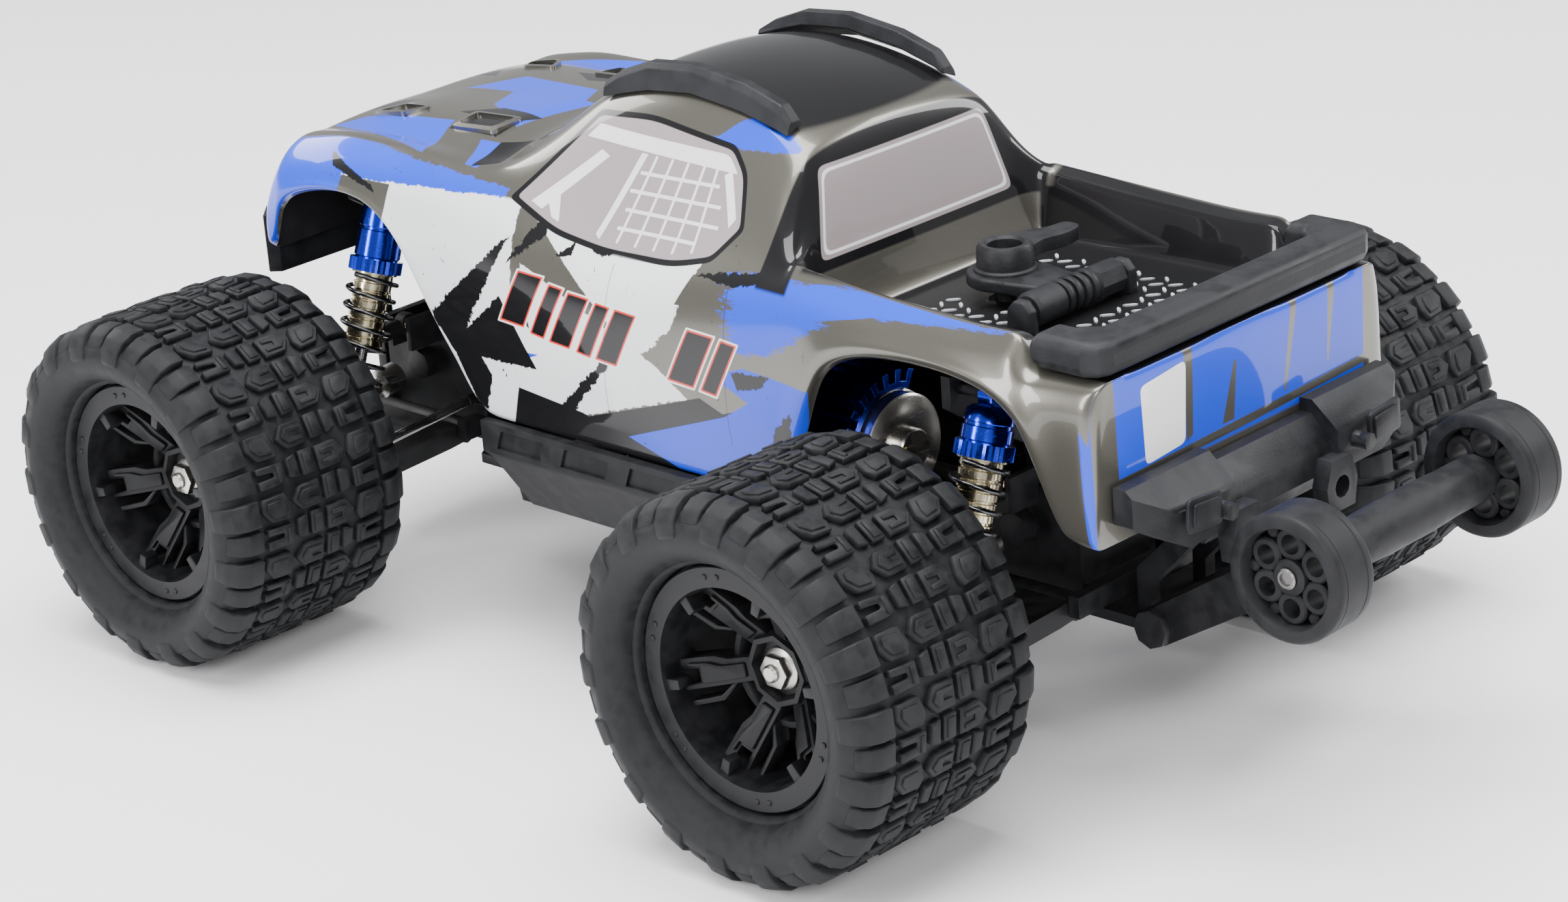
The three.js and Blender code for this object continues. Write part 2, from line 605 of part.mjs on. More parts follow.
function bulkhead(shock) {
  const pinFrontY = -ARM_FRONT_REACH - GAP;
  const pinRearY = ARM_REAR_REACH + GAP;
  const base = CHASSIS_TOP_Z + GAP;
  const topX = shock.topX;
  const topZ = shock.topZ;
  const towerY = 2.5;
  const tower = plateY([
    [-11, 56], [11, 56], [11, 68], [topX - 8, topZ - 12], [topX + 4, topZ - 4],
    [topX + 4, topZ + 3.4], [topX - 6, topZ + 3.4], [9, topZ - 9], [-9, topZ - 9],
    [-topX + 6, topZ + 3.4], [-topX - 4, topZ + 3.4], [-topX - 4, topZ - 4],
    [-topX + 8, topZ - 12], [-11, 68],
  ], towerY, towerY + TOWER_THICKNESS);
  const linkZ = ARM_INNER_Z + LINK_HEIGHT;
  const pieces = [
    box(
      [-BULKHEAD_HALF_WIDTH, -BULKHEAD_HALF_LENGTH, base],
      [BULKHEAD_HALF_WIDTH, BULKHEAD_HALF_LENGTH, BULKHEAD_TOP_Z],
    ),
    box([-BULKHEAD_HALF_WIDTH + 1, pinFrontY - 3, base], [BULKHEAD_HALF_WIDTH - 1, pinRearY + 3, base + 3]),
    tower,
  ];
  for (const side of [-1, 1]) {
    for (const y of [pinFrontY - 3, pinRearY]) {
      pieces.push(box([Math.min(0, side * (ARM_INNER_X + 3)), y, base],
        [Math.max(0, side * (ARM_INNER_X + 3)), y + 3, ARM_INNER_Z + 4]));
    }
    for (const y of [-4.4, 2.8]) {
      const ends = [side * 8, side * (LINK_INNER_X + 2.5)].sort((a, b) => a - b);
      pieces.push(box([ends[0], y, linkZ - 6], [ends[1], y + 1.6, linkZ + 2.5]));
    }
    pieces.push(
      eye(PIN_RADIUS, side * ARM_INNER_X, pinFrontY - 1, pinRearY + 1, ARM_INNER_Z),
      eye(PIN_RADIUS, side * topX, towerY, SHOCK_OFFSET_Y + SHOCK_EYE_WIDTH / 2 + 1, topZ),
      bar(4, [side * 12, 0, DRIVE_Z], [side * 17, 0, DRIVE_Z]),
    );
  }
  return pieces;
}

const FRONT_BULKHEAD = join(...bulkhead(FRONT_SHOCK));
const bodyPost = bar(POST_RADIUS, [0, POST_OFFSET_Y, 58], [0, POST_OFFSET_Y, BED_FLOOR_Z + 9.5]);
const REAR_BULKHEAD = join(...bulkhead(REAR_SHOCK), bodyPost);
addPart('front_bulkhead', toGeometry(FRONT_BULKHEAD).translate(0, FRONT_AXLE_Y, 0), BLACK_PLASTIC);
addPart('rear_bulkhead', toGeometry(REAR_BULKHEAD).translate(0, REAR_AXLE_Y, 0), BLACK_PLASTIC);

// ---- Chassis ----


function chassis() {
  const wall = CHASSIS_WALL;
  const halfSection = [
    [GUARD_X, GUARD_TOP_Z], [GUARD_X, GUARD_LOW_Z], [GUARD_X - 2.8, GUARD_LOW_Z - 2.5],
    [CHASSIS_FLOOR_HALF + 0.5, CHASSIS_BASE_Z],
  ];
  const innerHalf = [
    [CHASSIS_FLOOR_HALF - 1, CHASSIS_TOP_Z], [GUARD_X - 5, GUARD_LOW_Z - 1.2],
    [GUARD_X - wall, GUARD_LOW_Z + 1], [GUARD_X - wall, GUARD_TOP_Z],
  ];
  const flip = (points) => points.map(([x, z]) => [-x, z]).reverse();
  const section = [...halfSection, ...flip(halfSection), ...flip(innerHalf), ...innerHalf];
  const tub = plateY(section, GUARD_FRONT_Y, GUARD_REAR_Y);
  const spineHalf = [
    [CHASSIS_SPINE_HALF, SPINE_FRONT_Y], [CHASSIS_SPINE_HALF, FRONT_AXLE_Y + ARM_REAR_REACH + 5],
    [26, FRONT_AXLE_Y + ARM_REAR_REACH + 12], [26, GUARD_FRONT_Y - 20],
    [CHASSIS_FLOOR_HALF, GUARD_FRONT_Y - 4], [CHASSIS_FLOOR_HALF, GUARD_REAR_Y + 2],
    [CHASSIS_SPINE_HALF, GUARD_REAR_Y + 12],
    [CHASSIS_SPINE_HALF, SPINE_REAR_Y],
  ];
  const spine = plateZ([...spineHalf, ...flip(spineHalf)], CHASSIS_BASE_Z, CHASSIS_TOP_Z);
  const motorPlate = plateY([
    [-7, CHASSIS_BASE_Z + 1], [30, CHASSIS_BASE_Z + 1], [30, MOTOR_Z + 6], [22, MOTOR_Z + 13],
    [6, MOTOR_Z + 13], [-7, DRIVE_Z + 8],
  ], MOTOR_PLATE_Y, MOTOR_PLATE_Y + 2.5);
  const holes = [
    eye(CENTRE_SHAFT_RADIUS + 1.2, 0, MOTOR_PLATE_Y - 1, MOTOR_PLATE_Y + 4, DRIVE_Z),
    eye(5.4, MOTOR_X, MOTOR_PLATE_Y - 1, MOTOR_PLATE_Y + 4, MOTOR_Z),
  ];
  const pockets = [];
  const pocketPitch = 22;
  const pocketCount = Math.floor((GUARD_REAR_Y - GUARD_FRONT_Y - 8) / pocketPitch);
  for (let i = 0; i < pocketCount; i++) {
    const y = GUARD_FRONT_Y + 5 + i * pocketPitch;
    const pocket = [
      [y, GUARD_LOW_Z + 1.4], [y + 15, GUARD_LOW_Z + 1.4], [y + 17, GUARD_TOP_Z - 1.6],
      [y + 2, GUARD_TOP_Z - 1.6],
    ];
    pockets.push(plateX(pocket, GUARD_X - 0.9, GUARD_X + 1), plateX(pocket, -GUARD_X - 1, -GUARD_X + 0.9));
  }
  return cut(join(tub, spine, motorPlate), ...holes, ...pockets);
}
addPart('chassis', chassis(), BLACK_PLASTIC);

// ---- Drivetrain ----

// Gear outline in (x, z) about a centre, with a tooth or a gap centred on the angle phase.
function gearOutline(teeth, radius, [cx, cz], phase) {
  const points = [];
  const pitch = (2 * Math.PI) / teeth;
  const tip = radius + 0.38 * GEAR_MODULE;
  const root = radius - 0.75 * GEAR_MODULE;
  for (let i = 0; i < teeth; i++) {
    const centre = phase + i * pitch;
    for (const [share, r] of [[-0.24, root], [-0.14, tip], [0.14, tip], [0.24, root]]) {
      const angle = centre + share * pitch;
      points.push([cx + r * Math.cos(angle), cz + r * Math.sin(angle)]);
    }
  }
  return points;
}

const meshAngle = Math.atan2(MOTOR_Z - DRIVE_Z, MOTOR_X);

function centreShaft() {
  const from = FRONT_AXLE_Y + BULKHEAD_HALF_LENGTH + 0.5;
  const to = REAR_AXLE_Y - BULKHEAD_HALF_LENGTH - 0.5;
  const spur = gearOutline(SPUR_TEETH, SPUR_RADIUS, [0, DRIVE_Z], meshAngle);
  return join(
    eye(CENTRE_SHAFT_RADIUS, 0, from, to, DRIVE_Z),
    eye(CENTRE_SHAFT_RADIUS + 1.7, 0, from, from + 8, DRIVE_Z),
    eye(CENTRE_SHAFT_RADIUS + 1.7, 0, to - 8, to, DRIVE_Z),
    plateY(spur, SPUR_Y - GEAR_WIDTH / 2, SPUR_Y + GEAR_WIDTH / 2),
  );
}
addPart('centre_shaft', centreShaft(), STEEL);

function motorPinion() {
  const pitch = (2 * Math.PI) / PINION_TEETH;
  const teeth = gearOutline(PINION_TEETH, PINION_RADIUS, [MOTOR_X, MOTOR_Z], meshAngle + Math.PI + pitch / 2);
  return join(
    plateY(teeth, SPUR_Y - GEAR_WIDTH / 2, SPUR_Y + GEAR_WIDTH / 2),
    eye(1.6, MOTOR_X, SPUR_Y - 4, MOTOR_PLATE_Y + 2, MOTOR_Z),
  );
}
addPart('motor_pinion', motorPinion(), STEEL);

addPart('motor', join(
  eye(MOTOR_RADIUS, MOTOR_X, MOTOR_START_Y, MOTOR_START_Y + MOTOR_LENGTH, MOTOR_Z),
  eye(5, MOTOR_X, MOTOR_START_Y + MOTOR_LENGTH - 1, MOTOR_START_Y + MOTOR_LENGTH + 3, MOTOR_Z),
), MOTOR_METAL);

// Finned saddle clipped over the motor can.
function motorHeatsink() {
  const inner = MOTOR_RADIUS + GAP;
  const outer = inner + HEATSINK_WALL;
  const fins = 13;
  const finHalf = 0.055;
  const from = -0.32 * Math.PI;
  const to = 0.62 * Math.PI;
  const rim = [];
  for (let i = 0; i < fins; i++) {
    const angle = from + ((to - from) * i) / (fins - 1);
    const tip = outer + HEATSINK_FIN;
    for (const [offset, r] of [[-finHalf, outer], [-finHalf, tip], [finHalf, tip], [finHalf, outer]]) {
      rim.push([r, angle + offset]);
    }
  }
  const bore = [];
  for (let i = 0; i <= fins; i++) {
    bore.push([inner, to + finHalf - ((to - from + 2 * finHalf) * i) / fins]);
  }
  const points = [...rim, ...bore].map(([r, a]) => [MOTOR_X + r * Math.cos(a), MOTOR_Z + r * Math.sin(a)]);
  return toSolid(plateY(points, MOTOR_START_Y + 5, MOTOR_START_Y + MOTOR_LENGTH - 3));
}
addPart('motor_heatsink', motorHeatsink(), BLUE_ANODISED);

// ---- Steering, battery ----

addPart('steering_servo', join(
  box([-25, RACK_Y + 13, CHASSIS_TOP_Z + GAP], [-6, RACK_Y + 35, 56]),
  box([-25, RACK_Y + 11, 48], [-6, RACK_Y + 37, 50]),
  eye(2.6, -15.5, RACK_Y + 8, RACK_Y + 14, 43.5),
), BLACK_PLASTIC);

addPart('steering_rack', join(
  box([-TIE_ROD_INNER_X - 4, RACK_Y - 2.2, RACK_Z], [TIE_ROD_INNER_X + 4, RACK_Y + 2.2, RACK_Z + 3]),
  box([-20, RACK_Y, RACK_Z], [-11, RACK_Y + 6, RACK_Z + 3]),
), BLACK_PLASTIC);

// Tie rod with an upright eye at each end, just above the rack and the steering arm.
function tieRod() {
  const inner = [TIE_ROD_INNER_X, RACK_Z + 5.5];
  const outer = [BALL_X, AXLE_Z];
  const end = ([x, z]) => bar(
    TIE_ROD_END_RADIUS, [x, RACK_Y, z - TIE_ROD_END_HALF], [x, RACK_Y, z + TIE_ROD_END_HALF],
  );
  return join(
    bar(TIE_ROD_RADIUS, [inner[0], RACK_Y, inner[1]], [outer[0], RACK_Y, outer[1]]),
    end(inner),
    end(outer),
  );
}
addPart('tie_rod_left', tieRod(), STEEL);
addPart('tie_rod_right', mirroredX(toGeometry(tieRod())), STEEL);

addPart('battery', toSolid(box([-36.5, -32, CHASSIS_TOP_Z + GAP], [-17, 20, 57])), BATTERY_WRAP);

// ---- Bumpers ----

const frontBumper = join(
  plateZ([
    [-FRONT_BUMPER_HALF_WIDTH, FRONT_BUMPER_Y + 6], [-FRONT_BUMPER_HALF_WIDTH + 6, FRONT_BUMPER_Y],
    [FRONT_BUMPER_HALF_WIDTH - 6, FRONT_BUMPER_Y], [FRONT_BUMPER_HALF_WIDTH, FRONT_BUMPER_Y + 6],
    [FRONT_BUMPER_HALF_WIDTH - 2, FRONT_BUMPER_Y + 8.8],
    [-FRONT_BUMPER_HALF_WIDTH + 2, FRONT_BUMPER_Y + 8.8],
  ], FRONT_BUMPER_LOW_Z, FRONT_BUMPER_TOP_Z),
  ...[-12, 8].map((x) => plateX([
    [FRONT_BUMPER_Y + 3, CHASSIS_TOP_Z + GAP], [FRONT_BUMPER_Y + 6.4, CHASSIS_TOP_Z + GAP],
    [FRONT_BUMPER_Y + 6.4, FRONT_BUMPER_LOW_Z + 4], [FRONT_BUMPER_Y + 3, FRONT_BUMPER_LOW_Z + 4],
  ], x, x + 4)),
  box([-12, FRONT_BUMPER_Y + 3, CHASSIS_TOP_Z + GAP], [12, FRONT_BUMPER_Y + 6.4, 48]),
);
addPart('front_bumper', frontBumper, BLACK_PLASTIC);

function rearBumper() {
  const centre = plateX([
    [TAIL_Y, 62.5], [TAIL_Y + 6, 62.5], [TAIL_Y + 8, 66], [TAIL_Y + 8, 72], [TAIL_Y + 3, 78], [TAIL_Y, 78],
  ], -24, 24);
  const wing = plateZ([
    [18, TAIL_Y], [REAR_BUMPER_HALF_WIDTH, TAIL_Y], [REAR_BUMPER_HALF_WIDTH, TAIL_Y + 5],
    [REAR_BUMPER_HALF_WIDTH - 8, TAIL_Y + 10], [18, TAIL_Y + 10],
  ], 66, 81);
  const slope = plateX([
    [TAIL_Y - 1, 83], [TAIL_Y + 12, 83], [TAIL_Y + 12, 73], [TAIL_Y + 8.5, 76.5], [TAIL_Y + 3, 81.2],
  ], -60, 60);
  const underside = plateY([[27, 60], [60, 60], [60, 77], [46, 73], [34, 66]], TAIL_Y - 1, TAIL_Y + 12);
  const pin = eye(2, 24.2, TAIL_Y + 8, TAIL_Y + 14, 71.6);
  const loopOutline = outline([[12, 58], [21, 58], [22, 64], [20, 70], [13, 70], [11, 64]]);
  loopOutline.holes.push(new THREE.Path().absarc(16.5, 63.4, 2.6, 0, 2 * Math.PI, true));
  const loop = new THREE.ExtrudeGeometry(loopOutline, { ...flat(4), curveSegments: 5 });
  loop.rotateX(Math.PI / 2).translate(0, TAIL_Y + 12, 0);
  const strut = plateX([
    [SPINE_REAR_Y - 4, CHASSIS_TOP_Z + GAP], [SPINE_REAR_Y - 0.5, CHASSIS_TOP_Z + GAP],
    [SPINE_REAR_Y - 0.5, 42], [TAIL_Y - 3.5, 59], [TAIL_Y + 2, 61], [TAIL_Y + 2, 66],
    [TAIL_Y, 66], [TAIL_Y - 4, 65], [SPINE_REAR_Y - 4, 46],
  ], 8, 11.5);
  const solid = join(...bothSides([wing, pin, loop, strut]), centre);
  return cut(solid, slope, ...bothSides([underside]));
}
addPart('rear_bumper', rearBumper(), BLACK_PLASTIC);

// ---- Wheelie bar ----


function wheelieBar() {
  const arm = plateX([
    [WHEELIE_BOSS_Y - 3, WHEELIE_BOSS_Z - 3], [WHEELIE_BOSS_Y + 2, WHEELIE_BOSS_Z - 4.2],
    [WHEELIE_Y + 2, WHEELIE_Z - 5], [WHEELIE_Y + 4, WHEELIE_Z + 3], [WHEELIE_Y - 5, WHEELIE_Z + 3],
    [WHEELIE_BOSS_Y - 2, WHEELIE_BOSS_Z + 3.5],
  ], 13, 16.5);
  const axle = bar(2, [TUBE_HALF - 2, WHEELIE_Y, WHEELIE_Z], [WHEELIE_WHEEL_X + 4.6, WHEELIE_Y, WHEELIE_Z]);
  return join(
    bar(4.5, [-19, WHEELIE_BOSS_Y, WHEELIE_BOSS_Z], [19, WHEELIE_BOSS_Y, WHEELIE_BOSS_Z]),
    bar(5.4, [-TUBE_HALF, WHEELIE_Y, WHEELIE_Z], [TUBE_HALF, WHEELIE_Y, WHEELIE_Z], 16),
    box([-14, WHEELIE_BOSS_Y + 18, 44], [14, WHEELIE_BOSS_Y + 22, 49]),
    ...bothSides([arm, axle]),
  );
}
addPart('wheelie_bar', wheelieBar(), BLACK_PLASTIC);

function wheelieWheel() {
  const half = WHEELIE_WIDTH / 2;
  const solid = toSolid(turnedX([
    [-half, WHEELIE_RADIUS - 3], [-half, WHEELIE_RADIUS - 0.8], [-half + 1, WHEELIE_RADIUS],
    [half - 1, WHEELIE_RADIUS], [half, WHEELIE_RADIUS - 0.8], [half, WHEELIE_RADIUS - 3],
    [2.5, WHEELIE_RADIUS - 3], [2.5, 5], [4, 4.4], [4, 2 + RUNNING_CLEARANCE],
    [-half + 0.5, 2 + RUNNING_CLEARANCE], [-half + 0.5, 5], [-2.5, 5], [-2.5, WHEELIE_RADIUS - 3],
  ], 16));
  const holes = [];
  for (let i = 0; i < 6; i++) {
    const angle = ((i + 0.5) * Math.PI) / 3;
    const y = 8 * Math.cos(angle);
    const z = 8 * Math.sin(angle);
    holes.push(bar(2.2, [-4, y, z], [4, y, z], 6));
  }
  return toGeometry(cut(solid, ...holes));
}
addPart('wheelie_wheel_left', wheelieWheel().translate(WHEELIE_WHEEL_X, WHEELIE_Y, WHEELIE_Z), RUBBER);
addPart('wheelie_wheel_right', mirroredX(
  wheelieWheel().translate(WHEELIE_WHEEL_X, WHEELIE_Y, WHEELIE_Z),
), RUBBER);

// ---- Body shell ----

// Lengthwise lines of the left half, from the top centre to the lower edge: [y, x, z] points.
// Points ahead of the doors move with the front axle and points behind them with the rear axle.

function withAxles(y) {
  const shift = WHEELBASE / 2 - NOMINAL_HALF_BASE;
  if (y <= DOOR_FRONT_Y) return y - shift;
  if (y >= DOOR_REAR_Y) return y + shift;
  return y + shift * ((2 * (y - DOOR_FRONT_Y)) / (DOOR_REAR_Y - DOOR_FRONT_Y) - 1);
}

const SHELL_LINES = [
  // Centre line: hood, windscreen, roof, rear window, bed floor, tailgate top.
  [
    [-113, 0, 109], [-109.5, 0, 115.5], [-104.5, 0, 118], [-86, 0, 121], [-49, 0, 123.5], [-37, 0, 123],
    [-30, 0, 126], [-8, 0, 141.5], [6, 0, 145], [20, 0, 145.8], [36, 0, 143.6], [47, 0, 140.2],
    [56, 0, 135.6], [58.5, 0, 130], [63.5, 0, BED_FLOOR_Z + 2], [66, 0, BED_FLOOR_Z],
    [143, 0, BED_FLOOR_Z], [145.5, 0, BED_FLOOR_Z + 1.5], [147.5, 0, BED_TOP_Z], [152.5, 0, BED_TOP_Z],
  ],
  // Hood bulge, roof and bed panel.
  [
    [-113, 12, 109], [-109.5, 12, 115.5], [-104.5, 13, 118.5], [-86, 14, 122], [-49, 14, 124.2],
    [-37, 14, 123], [-30, 13.5, 125.6], [-8, 12, 141.2], [6, 12, 144.7], [20, 12, 145.4],
    [36, 12, 143.1], [47, 12, 139.7], [56, 12, 135.2], [58.5, 12, 129.8], [63.5, 13, BED_FLOOR_Z + 2],
    [66, 13, BED_FLOOR_Z], [143, 13, BED_FLOOR_Z], [145.5, 13, BED_FLOOR_Z + 1.5],
    [147.5, 13, BED_TOP_Z], [152.5, 13, BED_TOP_Z],
  ],
  // Vent row on the hood, roof edge, bed panel.
  [
    [-113, 25, 108], [-109.5, 25, 114.5], [-104.5, 26, 118], [-86, 27, 121.5], [-49, 27, 123],
    [-37, 26.5, 121.5], [-30, 26, 124], [-8, 23, 139.5], [6, 23.5, 143], [20, 24, 143.8],
    [36, 24, 141.6], [47, 24, 138.4], [56, 24.5, 134], [58.5, 25.5, 128.6], [63.5, 29, BED_FLOOR_Z + 2],
    [66, 30, BED_FLOOR_Z], [143, 31, BED_FLOOR_Z], [145.5, 31, BED_FLOOR_Z + 1.5],
    [147.5, 31, BED_TOP_Z], [152.5, 31, BED_TOP_Z],
  ],
  // Valley beside the fender, windscreen edge, roof corner, bed floor corner.
  [
    [-113, 34, 107], [-109.5, 34, 113.5], [-104.5, 34.5, 117], [-86, 35, 118.8], [-49, 35.5, 119.5],
    [-37, 35, 119.2], [-30, 34, 121.5], [-8, 28, 137], [6, 28.2, 140], [20, 28.6, 140.8],
    [36, 28.6, 138.8], [47, 28.8, 136], [56, 29.5, 132.3], [58.5, 30.5, 126.8],
    [63.5, 36, BED_FLOOR_Z + 2.5], [66, 37.5, BED_FLOOR_Z + 0.5], [143, 38.5, BED_FLOOR_Z + 0.5],
    [145.5, 38.5, BED_FLOOR_Z + 1.5], [147.5, 38.5, BED_TOP_Z], [152.5, 38, BED_TOP_Z],
  ],
  // Fender ridge, top of the side window, inner top of the bed wall.
  [
    [-113, 41, 106], [-109.5, 41, 112.5], [-104.5, 41.5, 118], [-86, 42, 121.5], [-60, 43, 121.2],
    [-43, 42.5, 119], [-30, 40.5, 118.8], [-8, 32.8, 131.5], [6, 32.6, 133.6], [20, 32.6, 133.6],
    [36, 32.8, 132.2], [47, 33.4, 130.2], [56, 34.4, 127.4], [58.5, 35.6, 122.5], [63.5, 40.5, 112.4],
    [66, 41, 111.6], [90, 41.5, 109.8], [117, 41.5, 108.9], [131, 41.5, 109.2], [134, 41.5, BED_TOP_Z],
    [147.5, 41.5, BED_TOP_Z], [152.5, 41, BED_TOP_Z],
  ],
  // Outer edge of the fender top, bottom of the side window, outer top of the bed wall.
  [
    [-113, 46, 104], [-109.5, 46.5, 110], [-104.5, 47, 115.2], [-86, 47.5, 118], [-60, 47.5, 117.4],
    [-43, 46, 116.8], [-30, 44, 116.4], [-18, 43.6, 114], [-8, 44, 110.6], [6, 44.3, 108.3],
    [20, 44.3, 108.5], [36, 44, 110.6], [47, 43.6, 112.8], [63.5, 44, 113.5], [90, 45.5, 111.4],
    [117, 45.8, 110], [131, 45.8, 110.4], [134, 46, BED_TOP_Z], [152.5, 46, BED_TOP_Z],
  ],
  // Shoulder.
  [
    [-113, 49, 100], [-109.5, 49.5, 105.5], [-104.5, 50, 111], [-86, 50.6, 113.8], [-60, 50.5, 112.6],
    [-43, 49.6, 111], [-30, 48.6, 109.4], [-8, 49, 104.2], [6, 49.5, 102.2], [20, 49.6, 102.4],
    [47, 49.6, 105.6], [63.5, 49.6, 107.2], [90, 50.2, 107.2], [117, 50.3, 106.5], [131, 50.2, 105],
    [134, 50.2, BED_TOP_Z - 1.6], [152.5, 49.6, BED_TOP_Z - 1.6],
  ],
  // Door and quarter panel.
  [
    [-113, 50, 96], [-109.5, 50.4, 100.5], [-104.5, 50.9, 107.6], [-86, 51.4, 111.2], [-68, 51.4, 109],
    [-60, 51.4, 105], [-49, 51.3, 97.5], [-30, 51.3, 95], [0, 51.9, 92], [30, 51.9, 92], [56, 51.6, 95],
    [70, 51.3, 101], [90, 51.5, 104.4], [117, 51.6, 103.8], [131, 51.4, 101], [143, 51.3, 95],
    [152.5, 50.8, 93],
  ],
  // Crest of the wheel arch flares, lower door.
  [
    [-113, 50.4, 92], [-109.5, 50.8, 95.5], [-107, 51.2, 100], [-104.5, 51.6, 104.8], [-97, 52, 107.8],
    [-86, 52.3, 110], [-76, 52.3, 110], [-68, 52.3, 107.8], [-60, 52.3, 101], [-54.5, 52.2, 92],
    [-49, 52, 85], [-43, 51.9, 80], [-30, 51.8, 78], [0, 52.5, 77], [30, 52.5, 77], [63.5, 52.3, 79],
    [70, 52.6, 85], [76, 53, 95.6], [81, 53, 99.6], [90, 53, 102.2], [104, 53, 103.2], [117, 53, 102.6],
    [127, 53, 100.2], [134, 53, 95.4], [138.5, 52.8, 87], [143, 52.2, 78], [152.5, 51.4, 77],
  ],
  // Wheel arch lips, door crease.
  [
    [-113, 50, 89.4], [-109.5, 50.5, 91.6], [-107, 51, 97.5], [-104.5, 51.3, 103], [-97, 51.6, 106.6],
    [-86, 51.8, 109], [-76, 51.8, 109], [-68, 51.8, 106.8], [-60, 51.8, 99.6], [-54.5, 51.6, 89],
    [-49, 51.4, 79.5], [-43, 51, 71.5], [-37, 50.8, 67.5], [0, 51.2, 66.5], [30, 51.2, 66.5],
    [58.5, 51, 67], [63.5, 51.2, 69], [66, 51.5, 72.5], [70, 51.8, 79.5], [73, 52.2, 86],
    [76, 52.4, 91.8], [81, 52.4, 96.6], [90, 52.4, 99.8], [104, 52.4, 101], [117, 52.4, 100.4],
    [127, 52.4, 98], [134, 52.3, 92.6], [138.5, 52.1, 82.6], [143, 51.6, 71.4], [147.5, 51.2, 70],
    [152.5, 51, 69.6],
  ],
  // Lower edge, tucked in at the arches.
  [
    [-113, 48.4, 88], [-109.5, 48.9, 90.4], [-107, 49.3, 96.6], [-104.5, 49.5, 102.2],
    [-97, 49.8, 105.8], [-86, 50, 108.2], [-76, 50, 108.2], [-68, 50, 106], [-60, 50, 98.8],
    [-54.5, 49.8, 88], [-49, 49.6, 77.5], [-43, 49.8, 68], [-37, 50, 60.4], [-30, 50, 60],
    [58.5, 50, 60], [63.5, 50, 61], [66, 50, 65], [70, 50, 74.5], [73, 50.3, 83], [76, 50.5, 90.4],
    [81, 50.5, 95.8], [90, 50.5, 99], [104, 50.5, 100.2], [117, 50.5, 99.6], [127, 50.5, 97.2],
    [134, 50.4, 91.6], [138.5, 50.3, 81.4], [143, 50.2, 69.8], [147.5, 50, 68.4], [152.5, 49.8, 68],
  ],
];
const SHELL_STATIONS = [
  -113, -109.5, -107, -104.5, -97, -86, -76, -68, -60, -54.5, -49, -43, -37, -30, -18, -8, 6, 20, 36,
  47, 56, 58.5, 63.5, 66, 70, 76, 81, 90, 104, 117, 127, 131, 134, 138.5, 143, 145.5, 147.5, 152.5,
];

function pointOnLine(line, y) {
  const next = Math.max(1, line.findIndex((point) => point[0] >= y));
  const [y0, x0, z0] = line[next - 1];
  const [y1, x1, z1] = line[next];
  const share = (y - y0) / (y1 - y0);
  return [x0 + (x1 - x0) * share, withAxles(y), z0 + (z1 - z0) * share];
}

// Quads of the left half: the long skin, then the front and tail faces that close its ends.
function shellQuads() {
  const grid = SHELL_STATIONS.map((y) => SHELL_LINES.map((line) => pointOnLine(line, y)));
  const quads = [];
  for (let i = 0; i < grid.length - 1; i++) {
    for (let j = 0; j < SHELL_LINES.length - 1; j++) {
      quads.push([grid[i][j], grid[i][j + 1], grid[i + 1][j + 1], grid[i + 1][j]]);
    }
  }
  const shoulder = 5;
  const ends = [{ column: grid[0], bulge: -1.4, front: true }, { column: grid[grid.length - 1], bulge: 0.6 }];
  for (const { column, bulge, front } of ends) {
    let upper = column.slice(0, shoulder + 1);
    for (let k = shoulder + 1; k < column.length; k++) {
      const [cornerX, y, z] = column[k];
      const lower = upper.map(([x], i) => {
        if (i === shoulder) return column[k];
        const across = (column[i][0] / column[shoulder][0]) * cornerX;
        return [across, y + bulge * (1 - (across / cornerX) ** 2), z];
      });
      for (let i = 0; i < shoulder; i++) {
        const quad = [upper[i], lower[i], lower[i + 1], upper[i + 1]];
        quads.push(front ? quad : quad.reverse());
      }
      upper = lower;
    }
  }
  return quads;
}

